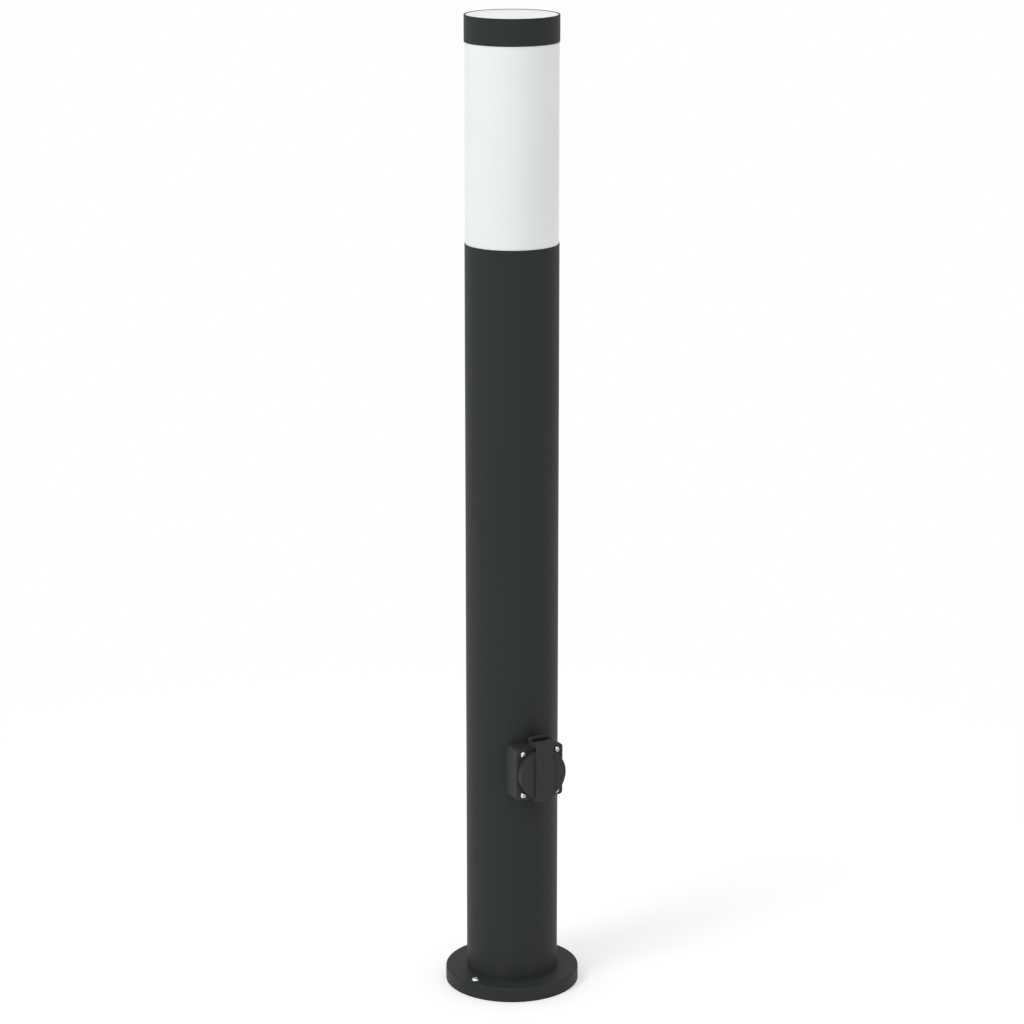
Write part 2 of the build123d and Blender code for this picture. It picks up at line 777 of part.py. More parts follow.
# Rubber ring in the seat's groove
with BuildPart() as head_seal:
    with BuildSketch(Plane.XZ):
        with Locations((groove_floor_r + seal_wire_d / 2, seal_z)):
            Circle(seal_wire_d / 2)
    revolve(axis=Axis.Z)
head_seal.part.label = "head_seal"
export_step(head_seal.part, "parts/head_seal.step")

# Opal diffuser: a cup with its closed end up, stepped in where the band goes on
rebate_r = tube_r - head_band_rim
rebate_bore_r = rebate_r - diffuser_wall
diffuser_top_z = head_top_z - head_top_drop
with BuildPart() as diffuser:
    turned(
        [
            (diffuser_bore_r, tube_top_z),
            (diffuser_r, tube_top_z),
            (diffuser_r, band_base_z),
            (rebate_r, band_base_z),
            (rebate_r, diffuser_top_z),
            (0, diffuser_top_z),
            (0, diffuser_top_z - diffuser_top_t),
            (rebate_bore_r, diffuser_top_z - diffuser_top_t),
            (rebate_bore_r, band_base_z - diffuser_neck_l),
            (diffuser_bore_r, band_base_z - diffuser_neck_l - diffuser_wall / 2),
        ]
    )
diffuser.part.label = "diffuser"
export_step(diffuser.part, "parts/diffuser.step")

# Black band round the top of the diffuser
with BuildPart() as cap_ring:
    turned(
        [
            (rebate_r + press_gap, band_base_z),
            (tube_r, band_base_z),
            (tube_r, head_top_z),
            (rebate_r + press_gap, head_top_z),
        ]
    )
    fillet(edges().filter_by(GeomType.CIRCLE), radius=head_band_edge_r)
cap_ring.part.label = "cap_ring"
export_step(cap_ring.part, "parts/cap_ring.step")

# Socket moulding: square flange and body, curved back, cup, collar and hinge block
earth_arm_outer = recess_r - earth_arm_gap
earth_arm_inner = earth_arm_outer - earth_arm_t
earth_slot_mid = (earth_arm_outer + earth_arm_inner) / 2
slot_spots = [(0, earth_slot_mid), (0, -earth_slot_mid)]
pin_spots = [(-pin_spacing / 2, 0), (pin_spacing / 2, 0)]
knuckle_r = knuckle_d / 2
ear_mid_x = (band_w - ear_t) / 2
ear_root_reach = pivot_reach - tower_sweep_r - ear_t
flange_top = flange_h / 2
pin_r = pin_d / 2
body_start_reach = sqrt(tube_bore_r**2 - (flange_w / 2) ** 2)


def hinge_ears():
    """Adds the two ears that carry the pin, from the hinge block forward to the pivot."""
    for side in (-1, 1):
        plane = Plane(
            origin=(side * ear_mid_x - ear_t / 2, -pivot_reach, pivot_z),
            x_dir=(0, -1, 0),
            z_dir=(1, 0, 0),
        )
        with BuildSketch(plane) as ear:
            Circle(knuckle_r)
            with Locations((-(pivot_reach - ear_root_reach) / 2, ear_root_drop / 2)):
                Rectangle(pivot_reach - ear_root_reach, knuckle_d - ear_root_drop)
        extrude(ear.sketch, amount=ear_t)


with BuildPart() as socket_housing:
    with BuildSketch(socket_plane(body_start_reach)):
        RectangleRounded(flange_w, flange_h, flange_corner_r)
    extrude(amount=flange_reach - body_start_reach)
    fillet(faces().sort_by(Axis.Y)[0].edges(), radius=flange_edge_r)
    with BuildSketch(Plane.XY.offset(socket_z - flange_h)):
        Circle(gasket_r)
    extrude(amount=2 * flange_h, mode=Mode.SUBTRACT)
    with BuildSketch(socket_plane(recess_back_reach)):
        Circle(cup_r)
    extrude(amount=collar_reach - recess_back_reach)
    with BuildSketch(socket_plane(tower_back_reach)):
        with Locations((0, (tower_rise + flange_top - flange_edge_r) / 2)):
            Rectangle(band_w, tower_rise - flange_top + flange_edge_r)
    extrude(amount=pivot_reach - tower_back_reach)
    tower_top_edges = edges().group_by(Axis.Z)[-1]
    fillet(tower_top_edges.sort_by(Axis.Y)[-1], radius=tower_edge_r)
    hinge_sweep = Plane(
        origin=(-band_w, -pivot_reach, pivot_z), x_dir=(0, -1, 0), z_dir=(1, 0, 0)
    )
    with BuildSketch(hinge_sweep):
        Circle(tower_sweep_r)
    extrude(amount=2 * band_w, mode=Mode.SUBTRACT)
    hinge_ears()
    with BuildSketch(hinge_sweep):
        Circle(pin_r + press_gap)
    extrude(amount=2 * band_w, mode=Mode.SUBTRACT)
    with BuildSketch(socket_plane(recess_floor_reach)):
        Circle(recess_r)
    extrude(amount=recess_depth, mode=Mode.SUBTRACT)
    with BuildSketch(socket_plane(recess_back_reach)):
        with Locations(*pin_spots):
            Circle(pin_hole_d / 2)
        with Locations(*slot_spots):
            Rectangle(earth_arm_w + 2 * passing_gap, earth_arm_t + 2 * passing_gap)
        Circle(carrier_screw_d / 2 + passing_gap)
    extrude(amount=recess_floor_t, mode=Mode.SUBTRACT)
    with BuildSketch(socket_plane(pin_sleeve_reach)):
        with Locations(*pin_spots):
            Circle(pin_sleeve_d / 2 + running_gap)
    extrude(amount=-pin_sleeve_seat, mode=Mode.SUBTRACT)
    with BuildSketch(socket_plane(sunk_head_reach)):
        Circle(carrier_screw_head_d / 2 + passing_gap)
    extrude(amount=carrier_screw_head_h, mode=Mode.SUBTRACT)
    with BuildSketch(socket_plane(0)):
        with Locations(*socket_screw_spots):
            Circle(socket_screw_d / 2 + passing_gap)
    extrude(amount=flange_reach, mode=Mode.SUBTRACT)
socket_housing.part.label = "socket_housing"
export_step(socket_housing.part, "parts/socket_housing.step")

# Rubber seal between the moulding and the tube
with BuildPart() as socket_gasket:
    with BuildSketch(socket_plane(0)):
        RectangleRounded(flange_w, flange_h, flange_corner_r)
        Circle(cup_hole_r, mode=Mode.SUBTRACT)
        with Locations(*socket_screw_spots):
            Circle(socket_screw_d / 2 + passing_gap, mode=Mode.SUBTRACT)
    extrude(amount=flange_reach)
    with BuildSketch(Plane.XY.offset(socket_z - flange_h)):
        Circle(gasket_r)
        Circle(tube_r, mode=Mode.SUBTRACT)
    extrude(amount=2 * flange_h, mode=Mode.INTERSECT)
socket_gasket.part.label = "socket_gasket"
export_step(socket_gasket.part, "parts/socket_gasket.step")

# Four screws that hold the moulding to the tube
with BuildPart() as socket_screws:
    pan_screws(
        socket_plane(flange_reach),
        socket_screw_spots,
        socket_screw_d,
        socket_screw_l,
        socket_screw_head_d,
        socket_screw_head_h,
    )
socket_screws.part.label = "socket_screws"
export_step(socket_screws.part, "parts/socket_screws.step")

# Contact carrier behind the floor of the recess
with BuildPart() as socket_carrier:
    with BuildSketch(socket_plane(carrier_back_reach)):
        RectangleRounded(contact_carrier_w, contact_carrier_h, contact_carrier_r)
    extrude(amount=contact_carrier_depth)
    with BuildSketch(socket_plane(pin_sleeve_reach)):
        with Locations(*pin_spots):
            Circle(pin_sleeve_d / 2 + running_gap)
    extrude(amount=-pin_sleeve_l, mode=Mode.SUBTRACT)
    with BuildSketch(socket_plane(recess_back_reach)):
        Circle(carrier_screw_d / 2 + running_gap)
    extrude(amount=-carrier_screw_l, mode=Mode.SUBTRACT)
socket_carrier.part.label = "socket_carrier"
export_step(socket_carrier.part, "parts/socket_carrier.step")

# Brass sleeves that take the plug's pins
with BuildPart() as pin_contacts:
    with BuildSketch(socket_plane(pin_sleeve_reach)):
        with Locations(*pin_spots):
            Circle(pin_sleeve_d / 2)
            Circle(pin_sleeve_bore_d / 2, mode=Mode.SUBTRACT)
    extrude(amount=-pin_sleeve_l)
pin_contacts.part.label = "pin_contacts"
export_step(pin_contacts.part, "parts/pin_contacts.step")

# Earth clip: a strip behind the carrier with an arm at the top and bottom of the recess
strip_back_reach = carrier_back_reach - earth_arm_t
arm_outline = [
    (strip_back_reach, earth_arm_outer),
    (earth_arm_reach, earth_arm_outer),
    (earth_arm_reach, earth_arm_inner),
    (earth_arm_reach - earth_nub_l / 2, earth_arm_inner - earth_nub_h),
    (earth_arm_reach - earth_nub_l, earth_arm_inner),
    (carrier_back_reach, earth_arm_inner),
]
clip_outline = arm_outline + [(reach, -rise) for reach, rise in reversed(arm_outline)]
with BuildPart() as earth_clip:
    clip_plane = Plane(origin=(-earth_arm_w / 2, 0, socket_z), x_dir=(0, -1, 0), z_dir=(1, 0, 0))
    with BuildSketch(clip_plane):
        with BuildLine():
            Polyline(*[(reach, -rise) for reach, rise in clip_outline], close=True)
        make_face()
    extrude(amount=earth_arm_w)
earth_clip.part.label = "earth_clip"
export_step(earth_clip.part, "parts/earth_clip.step")

# Screw sunk in the middle of the recess's floor, which holds the carrier
with BuildPart() as carrier_screw:
    pan_screws(
        socket_plane(sunk_head_reach),
        [(0, 0)],
        carrier_screw_d,
        carrier_screw_l,
        carrier_screw_head_d,
        carrier_screw_head_h,
    )
carrier_screw.part.label = "carrier_screw"
export_step(carrier_screw.part, "parts/carrier_screw.step")

# Lid: round flap, raised upright band, neck in front of the hinge and two knuckles
neck_back_reach = band_reach - band_neck_t
neck_foot = lid_r - band_neck_inset
knuckle_w = (band_w - 2 * ear_t - spring_room_w) / 2 - moving_gap
knuckle_mid_x = (spring_room_w + knuckle_w) / 2
with BuildPart() as lid:
    with BuildSketch(socket_plane(lid_back_reach)):
        Circle(lid_r)
    extrude(amount=lid_t)
    fillet(edges().group_by(Axis.Y)[0], radius=lid_edge_r)
    with BuildSketch(socket_plane(lid_back_reach)):
        with Locations((0, (neck_foot - band_foot) / 2)):
            Rectangle(band_w, neck_foot + band_foot)
    extrude(amount=band_reach - lid_back_reach)
    with BuildSketch(socket_plane(neck_back_reach)):
        with Locations((0, (band_top + neck_foot) / 2)):
            Rectangle(band_w, band_top - neck_foot)
    extrude(amount=band_neck_t)
    band_face = faces().sort_by(Axis.Y)[0]
    top_edge = band_face.edges().sort_by(Axis.Z)[-1]
    fillet(top_edge, radius=band_top_r)
    side_edges = faces().sort_by(Axis.Y)[0].edges().filter_by(Axis.Z)
    foot_edge = faces().sort_by(Axis.Y)[0].edges().sort_by(Axis.Z)[0]
    fillet([*side_edges, foot_edge], radius=band_edge_r)
    for side in (-1, 1):
        knuckle_plane = Plane(
            origin=(side * knuckle_mid_x - knuckle_w / 2, -pivot_reach, pivot_z),
            x_dir=(0, -1, 0),
            z_dir=(1, 0, 0),
        )
        with BuildSketch(knuckle_plane):
            Circle(knuckle_r)
            with Locations(((neck_back_reach - pivot_reach) / 2, 0)):
                Rectangle(neck_back_reach - pivot_reach, knuckle_d)
            Circle(pin_r + running_gap, mode=Mode.SUBTRACT)
        extrude(amount=knuckle_w)
    with BuildSketch(socket_plane(lid_back_reach)):
        Circle(lid_seal_r)
        Circle(lid_seal_bore_r, mode=Mode.SUBTRACT)
    extrude(amount=lid_seal_groove, mode=Mode.SUBTRACT)
lid.part.label = "lid"
export_step(lid.part, "parts/lid.step")

# Rubber ring in the back of the lid
with BuildPart() as lid_seal:
    with BuildSketch(socket_plane(lid_back_reach + lid_seal_groove)):
        Circle(lid_seal_r)
        Circle(lid_seal_bore_r, mode=Mode.SUBTRACT)
    extrude(amount=-lid_seal_t)
lid_seal.part.label = "lid_seal"
export_step(lid_seal.part, "parts/lid_seal.step")

# Hinge pin through ears and knuckles
pin_l = band_w - 2 * pin_inset
with BuildPart() as hinge_pin:
    with BuildSketch(
        Plane(origin=(-pin_l / 2, -pivot_reach, pivot_z), x_dir=(0, -1, 0), z_dir=(1, 0, 0))
    ):
        Circle(pin_r)
    extrude(amount=pin_l)
hinge_pin.part.label = "hinge_pin"
export_step(hinge_pin.part, "parts/hinge_pin.step")

# Torsion spring round the pin: one leg back to the hinge block, one down behind the lid
spring_l = spring_pitch * spring_turns
spring_r = spring_d / 2
spring_slope = atan2(spring_pitch, 2 * pi * spring_r)
spring_end_turn = 2 * pi * spring_turns


def on_spring(turn, along, forward):
    """A point at an angle on the coil, then a distance forward along its tangent there."""
    flat = forward * cos(spring_slope)
    return (
        spring_r * cos(turn) - flat * sin(turn),
        spring_r * sin(turn) + flat * cos(turn),
        along + forward * sin(spring_slope),
    )


with BuildLine() as bent_wire:
    Line(on_spring(0, 0, -spring_back_leg_l), on_spring(0, 0, 0))
    Helix(pitch=spring_pitch, height=spring_l, radius=spring_r)
    Line(
        on_spring(spring_end_turn, spring_l, 0),
        on_spring(spring_end_turn, spring_l, spring_front_leg_l),
    )
coil_plane = Plane(
    origin=(-spring_l / 2, -pivot_reach, pivot_z), x_dir=(0, 0, 1), z_dir=(1, 0, 0)
)
spring_path = bent_wire.wire().moved(coil_plane.location)
with BuildPart() as lid_spring:
    with BuildSketch(Plane(origin=spring_path @ 0, z_dir=spring_path % 0)):
        Circle(spring_wire_d / 2)
    sweep(path=spring_path)
lid_spring.part.label = "lid_spring"
export_step(lid_spring.part, "parts/lid_spring.step")
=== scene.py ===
"""Garden socket post, dressed for a plain studio view.

A round anthracite post with an opal lamp head, one flap-lid socket low on its front and a
screw-down foot. Everything is in metres, +Z up, the origin under the middle of the foot, and
the socket faces -Y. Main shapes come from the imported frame. This file adds the finer forms
of the small pieces, a finish for every surface, the stage and the camera.
"""

import json
import math

import bmesh
import bpy
from mathutils import Matrix, Vector


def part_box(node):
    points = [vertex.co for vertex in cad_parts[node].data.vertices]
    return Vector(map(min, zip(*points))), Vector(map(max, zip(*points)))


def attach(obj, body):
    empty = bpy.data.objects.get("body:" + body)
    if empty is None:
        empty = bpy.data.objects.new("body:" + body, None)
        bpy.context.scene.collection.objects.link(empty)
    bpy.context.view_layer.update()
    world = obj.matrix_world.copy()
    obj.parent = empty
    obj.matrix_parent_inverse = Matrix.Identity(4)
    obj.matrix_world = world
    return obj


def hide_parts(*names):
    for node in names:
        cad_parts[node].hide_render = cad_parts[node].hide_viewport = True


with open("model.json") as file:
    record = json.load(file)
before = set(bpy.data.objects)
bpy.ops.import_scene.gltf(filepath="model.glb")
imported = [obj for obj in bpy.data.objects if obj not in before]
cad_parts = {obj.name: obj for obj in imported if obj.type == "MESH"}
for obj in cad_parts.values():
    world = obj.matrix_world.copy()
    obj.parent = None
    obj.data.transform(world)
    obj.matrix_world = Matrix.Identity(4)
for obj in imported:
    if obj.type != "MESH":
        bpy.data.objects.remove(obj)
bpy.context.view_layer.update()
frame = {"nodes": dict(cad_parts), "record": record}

RECORD = frame["record"]
NODES = frame["nodes"]
BODY_OF = {node: body for body, held in RECORD["behaviour"]["bodies"].items() for node in held}
SLOT_OF = {part["node"]: part["material_slot"] for part in RECORD["subparts"]}
SLOT_COLOURS = {entry["slot"]: tuple(entry["base_color"]) for entry in RECORD["materials"]}
MM = 0.001
SHARP = math.radians(32)  # faces that meet at more than this keep a sharp edge
WHITE = (1, 1, 1, 1)

bl_info = {
    "name": "Garden socket post",
    "version": (1, 0, 0),
    "blender": (4, 5, 0),
    "location": "View3D > Sidebar > Socket Post",
    "description": "Builds the finer pieces, the finishes and the studio of a garden socket post",
    "category": "Object",
}


# Sizes and colours


def length(name, description, default):
    """A size in metres that starts from millimetres."""
    return bpy.props.FloatProperty(
        name=name, description=description, default=default * MM, min=0, precision=5, unit="LENGTH"
    )


def colour(name, description, default=None):
    """A colour that starts from the record's colour of a finish, unless another is given."""
    return bpy.props.FloatVectorProperty(
        name=name.replace("_", " ").capitalize(),
        description=description,
        default=default or SLOT_COLOURS[name],
        min=0,
        max=1,
        size=3,
        subtype="COLOR",
    )


def bearing(name, description, degrees):
    """An angle that starts from degrees."""
    return bpy.props.FloatProperty(
        name=name,
        description=description,
        default=math.radians(degrees),
        subtype="ANGLE",
        unit="ROTATION",
    )


def position(name, description, default):
    """A place in metres."""
    return bpy.props.FloatVectorProperty(
        name=name, description=description, default=default, subtype="TRANSLATION", unit="LENGTH"
    )


def amount(name, description, default, unit="NONE", least=0):
    """A plain number, from nought up unless another limit is given."""
    return bpy.props.FloatProperty(
        name=name, description=description, default=default, min=least, unit=unit
    )


class PostSizes(bpy.types.PropertyGroup):
    """Sizes of the pieces that are built here."""

    diffuser_wall: length("Diffuser wall", "Wall of the opal cylinder", 2.0)
    diffuser_top: length("Diffuser top", "Thickness of the closed top", 2.2)
    diffuser_neck: length("Diffuser neck", "How far the thicker wall runs below the band", 4.8)
    diffuser_edge: length("Diffuser edge", "Rounding of the diffuser's outer edges", 0.45)
    band_rim: length("Band wall", "Wall of the black band round the diffuser", 1.3)
    grommet_bore: length("Grommet bore", "Radius of the cable's way through the grommet", 5.2)
    grommet_neck: length("Grommet neck", "Radius of the neck in the ground plate", 12.0)
    grommet_plate: length("Grommet seat", "Height of the rim's seat on the plate", 2.5)
    pin_head: length("Pin chamfer", "Chamfer at the ends of the hinge pin", 0.3)
    sleeve_wall: length("Contact wall", "Wall of the brass pin sleeves", 0.55)
    sleeve_slot: length("Contact slot", "Width of the slots in the pin sleeves", 0.6)
    dome_wall: length("Dome wall", "Wall of the lamp's opal dome", 1.2)
    cap_pitch: length("Cap pitch", "Pitch of the lamp cap's thread", 3.6)
    cap_depth: length("Cap thread depth", "Depth of the lamp cap's thread", 0.9)
    cap_inner: length("Cap inner radius", "Radius of the hollow in the lamp's cap", 9.4)
    shell_wall: length("Shell wall", "Wall of the holder's threaded shell", 0.75)
    shell_floor: length("Shell floor", "Thickness of the shell's floor", 0.6)
    shell_opening: length("Shell opening", "Radius of the opening in the shell's floor", 9.0)
    lead_radius: length("Lead radius", "Radius of the sheathed leads", 2.8)
    holder_bore: length("Holder bore", "Radius of the holder's bore round the shell", 14.6)
    holder_cavity: length("Holder cavity", "Radius of the room under the shell", 12.0)
    holder_foot: length("Holder foot", "Radius of the holder's foot on the plate", 14.0)
    holder_cone: length("Holder cone", "Height of the cone above the foot", 15.0)
    holder_groove: length("Holder groove", "Depth of the grip grooves round the holder", 0.7)
    nipple: length("Nipple", "Radius of the threaded nipple", 5.0)
    nipple_bore: length("Nipple bore", "Radius of the lead's way through the nipple", 3.1)
    nipple_blind: length("Nipple reach", "How far the nipple's bore runs up into the holder", 3.0)
    nipple_pitch: length("Nipple pitch", "Pitch of the nipple's thread", 1.0)
    nut_bore: length("Nut bore", "Radius of the nut's hole", 5.05)
    nut_face: length("Nut face", "Radius of the round faces between the nut's chamfers", 7.3)
    seal_width: length("Seal width", "Width of the lid's seal", 2.1)
    seal_lip: length("Seal lip", "Height of the lips on the lid's seal", 0.3)
    spring_coil: length("Spring coil", "Mean radius of the spring's coil", 1.95)
    spring_wire: length("Spring wire", "Radius of the spring's wire", 0.25)
    spring_pitch: length("Spring pitch", "Pitch of the spring's coil", 0.62)
    spring_back_leg: length("Back leg", "Length of the spring's leg on the hinge block", 4.9)
    spring_lid_leg: length("Lid leg", "Length of the spring's leg behind the lid", 5.0)


class PostColours(bpy.types.PropertyGroup):
    """Colours of the finishes."""

    powder_coat: colour("powder_coat", "Tube, foot and band")
    socket_plastic: colour("socket_plastic", "Socket moulding, lid and head seat")
    opal_plastic: colour("opal_plastic", "Diffuser")
    zinc_steel: colour("zinc_steel", "Ground plate, connector plate and lamp plate")
    stainless: colour("stainless", "Screws and hinge pin")
    brass: colour("brass", "Contacts and terminal sleeves")
    nickel: colour("nickel", "Lamp cap, holder shell and earth clip")
    spring_steel: colour("spring_steel", "Lid spring")
    rubber: colour("rubber", "Seals and grommet")
    lead_sheath: colour("lead_sheath", "Sheathed leads")
    connector_plastic: colour("connector_plastic", "Connector body")
    carrier_plastic: colour("carrier_plastic", "Contact carrier and lamp insulator")
    porcelain: colour("porcelain", "Lampholder")
    lamp_plastic: colour("lamp_plastic", "Lamp housing")
    lamp_opal: colour("lamp_opal", "Lamp dome")


class PostStage(bpy.types.PropertyGroup):
    """Camera, floor and lights."""

    camera_place: position("Camera place", "Where the camera stands", (-1.1135, -2.2140, 1.0611))
    camera_pitch: bearing("Camera pitch", "How far the camera looks down", 14.90)
    camera_heading: bearing("Camera heading", "Turn about the vertical, from +Y", -26.7)
    camera_lens: amount("Lens", "Focal length on a 36 mm sensor, in millimetres", 112.03, least=1)
    floor_radius: length("Floor radius", "Radius of the round floor", 14000)
    floor_colour: colour("floor_colour", "Colour of the floor round the post", (0.80, 0.80, 0.80))
    fade_start: length("Fade start", "Radius where the floor starts to turn white", 350)
    fade_end: length("Fade end", "Radius from where the floor is seen as plain white", 900)
    floor_lift: amount("Floor lift", "Light of the floor itself that falls on the post", 0.12)
    seen_lift: amount("Seen lift", "Further light of the floor, which is only seen", 0.22)
    key_place: position("Key place", "Where the large lamp hangs", (-3.3, -0.9, 3.5))
    key_target: position("Key target", "What the large lamp faces", (0, 0, 0.42))
    key_size: amount("Key size", "Width of the large lamp", 2.0, unit="LENGTH")
    key_power: amount("Key light", "Power of the large lamp", 59.0, unit="POWER")
    fill_level: amount("Fill level", "Strength of the light from all round", 0.76)


def sizes():
    return bpy.context.scene.socket_post_sizes


def colours():
    return bpy.context.scene.socket_post_colours


# Shader maths


class Wire:
    """A shader socket in a Python expression. Each calculation with it adds a Math node."""

    def __init__(self, finish, socket):
        self.finish = finish
        self.socket = socket

    def math(self, operation, *values):
        return self.finish.node("ShaderNodeMath", {"operation": operation}, dict(enumerate(values)))

    def __add__(self, other):
        return self.math("ADD", self, other)

    __radd__ = __add__

    def __mul__(self, other):
        return self.math("MULTIPLY", self, other)

    __rmul__ = __mul__

    def __sub__(self, other):
        return self.math("SUBTRACT", self, other)

    def __rsub__(self, other):
        return self.math("SUBTRACT", other, self)

    def ramp(self, low, high):
        """Nought below low, one above high, and smooth between them."""
        return self.finish.node(
            "ShaderNodeMapRange",
            {"interpolation_type": "SMOOTHSTEP", "clamp": True},
            {"Value": self, "From Min": low, "From Max": high},
        )


class Graph:
    """The emptied nodes of a material or of the surroundings."""

    def __init__(self, owner, output):
        owner.use_nodes = True
        self.tree = owner.node_tree
        self.tree.nodes.clear()
        self.output = self.tree.nodes.new(output)

    def node(self, kind, settings=None, inputs=None, output=0):
        """Any node: its settings first, then the values or wires of its sockets."""
        made = self.tree.nodes.new(kind)
        for name, value in (settings or {}).items():
            setattr(made, name, value)
        for name, value in (inputs or {}).items():
            self.feed(made.inputs[name], value)
        return Wire(self, made.outputs[output])

    def feed(self, socket, value):
        if isinstance(value, Wire):
            self.tree.links.new(value.socket, socket)
        else:
            socket.default_value = value

    def show(self, shader):
        """Sends a shader to the output."""
        self.feed(self.output.inputs["Surface"], shader)

    def seen_directly(self):
        """One for what the camera, a reflection or clear plastic shows, and nought for light."""
        seen = [
            self.node("ShaderNodeLightPath", output=name)
            for name in ("Is Camera Ray", "Is Glossy Ray", "Is Transmission Ray")
        ]
        total = seen[0] + seen[1] + seen[2]
        return total.math("MINIMUM", total, 1.0)


class Finish(Graph):
    """A material with one Principled shader. What changes over a surface comes in as wires."""

    def __init__(self, name, **constants):
        self.material = bpy.data.materials.new(name)
        super().__init__(self.material, "ShaderNodeOutputMaterial")
        self.shader = self.tree.nodes.new("ShaderNodeBsdfPrincipled")
        self.show(Wire(self, self.shader.outputs[0]))
        self.place = self.node("ShaderNodeTexCoord", output="Object")
        for socket, value in constants.items():
            self.set(socket.replace("_", " "), value)

    def set(self, socket, value):
        self.feed(self.shader.inputs[socket], value)

    def stretched(self, x, y, z):
        """The place with each axis scaled, for grain that runs one way."""
        return self.node(
            "ShaderNodeVectorMath", {"operation": "MULTIPLY"}, {0: self.place, 1: (x, y, z)}
        )

    def noise(self, scale, detail=2.0, roughness=0.5, place=None):
        return self.node(
            "ShaderNodeTexNoise",
            inputs={
                "Vector": place or self.place,
                "Scale": scale,
                "Detail": detail,
                "Roughness": roughness,
            },
        )

    def cells(self, scale, output="Distance"):
        """Uneven cells: the distance to the nearest centre, or a colour for each cell."""
        return self.node(
            "ShaderNodeTexVoronoi", inputs={"Vector": self.place, "Scale": scale}, output=output
        )

    def height(self):
        return self.node("ShaderNodeSeparateXYZ", inputs={0: self.place}, output=2)

    def tint(self, shade, tone):
        """A colour made lighter or darker by a tone about one."""
        return self.node(
            "ShaderNodeVectorMath", {"operation": "SCALE"}, {0: tuple(shade)[:3], "Scale": tone}
        )

    def mix(self, factor, one, other):
        """One colour, going over to the other where the factor is one."""
        opaque = [c if isinstance(c, Wire) else (*tuple(c)[:3], 1) for c in (one, other)]
        inputs = {0: factor, 6: opaque[0], 7: opaque[1]}
        return self.node("ShaderNodeMix", {"data_type": "RGBA"}, inputs, output=2)

    def bump(self, height, distance, strength=1.0):
        inputs = {"Height": height, "Distance": distance, "Strength": strength}
        self.set("Normal", self.node("ShaderNodeBump", inputs=inputs))


# Finishes


def powder_coat(name, shade):
    """Fine-textured anthracite coating: orange peel, pale specks, faint clouds and a dusty foot."""
    made = Finish(name, Specular_IOR_Level=0.09)
    peel = made.noise(1150, 3.0, 0.55)
    speck = made.noise(3600, 1.0)
    cloud = made.noise(7, 3.0)
    dust = (1 - made.height().ramp(0.012, 0.075)) * made.noise(55, 4.0, 0.6).ramp(0.42, 0.75)
    tone = 0.72 + 0.26 * speck + 0.14 * cloud
    made.set("Base Color", made.mix(0.02 * dust, made.tint(shade, tone), (0.30, 0.27, 0.23)))
    made.set("Roughness", 0.40 + 0.12 * cloud + 0.10 * speck + 0.06 * dust)
    made.bump(peel + 0.4 * speck, 0.00016, 0.55)
    return made.material


def socket_plastic(name, shade):
    """Moulded black plastic: spark-eroded grain and a slow change of gloss."""
    made = Finish(name, Specular_IOR_Level=0.12)
    grain = made.noise(4200, 2.0)
    cloud = made.noise(26, 3.0)
    made.set("Base Color", made.tint(shade, 0.84 + 0.16 * grain + 0.16 * cloud))
    made.set("Roughness", 0.30 + 0.14 * cloud + 0.12 * grain)
    made.bump(grain, 0.00005, 0.5)
    return made.material


def opal_plastic(name, shade):
    """Satin opal acrylic: milky depth, a slow ripple from forming and a little haze."""
    made = Finish(
        name,
        Specular_IOR_Level=0.45,
        Subsurface_Weight=0.25,
        Subsurface_Radius=(1.0, 0.95, 0.9),
        Subsurface_Scale=0.004,
    )
    haze = made.noise(18, 3.0)
    ripple = made.noise(34, 2.0, 0.4, made.stretched(1, 1, 0.3))
    made.set("Base Color", made.mix(haze.ramp(0.3, 0.7), shade, made.tint(shade, 0.975)))
    made.set("Roughness", 0.24 + 0.16 * haze)
    made.bump(ripple + 0.05 * made.noise(1900, 1.0), 0.0004, 0.25)
    return made.material


def zinc_steel(name, shade):
    """Zinc-plated sheet: pale spangle cells, rolling lines and dull patches."""
    made = Finish(name, Metallic=0.9)
    spangle = made.cells(170, "Color") * 1.0  # a Math node makes one number of a colour
    lines = made.noise(60, 3.0, 0.6, made.stretched(1, 18, 1))
    dull = made.noise(24, 4.0, 0.6)
    bright = made.tint(shade, 0.82 + 0.22 * spangle)
    made.set("Base Color", made.mix(dull.ramp(0.45, 0.8), bright, (0.44, 0.45, 0.44)))
    made.set("Roughness", 0.30 + 0.12 * spangle + 0.18 * dull)
    made.bump(0.6 * lines + 0.4 * spangle, 0.00006, 0.35)
    return made.material


def turned_metal(name, shade, gloss, grain, tarnish):
    """Bare metal with fine tool lines, small scratches and a trace of tarnish."""
    made = Finish(name, Metallic=1.0)
    lines = made.noise(grain, 2.0, 0.5, made.stretched(1, 1, 6))
    patch = made.noise(130, 4.0, 0.6)
    bare = made.tint(shade, 0.90 + 0.16 * lines)
    made.set("Base Color", made.mix(patch.ramp(0.48, 0.78), bare, tarnish))
    made.set("Roughness", gloss + 0.14 * lines + 0.16 * patch.ramp(0.45, 0.8))
    made.bump(lines, 0.00002, 0.4)
    return made.material


def stainless(name, shade):
    return turned_metal(name, shade, 0.16, 1300, (0.52, 0.50, 0.47))


def brass(name, shade):
    return turned_metal(name, shade, 0.20, 1500, (0.42, 0.28, 0.12))


def nickel(name, shade):
    return turned_metal(name, shade, 0.18, 900, (0.50, 0.47, 0.42))


def spring_steel(name, shade):
    return turned_metal(name, shade, 0.26, 2200, (0.24, 0.22, 0.21))


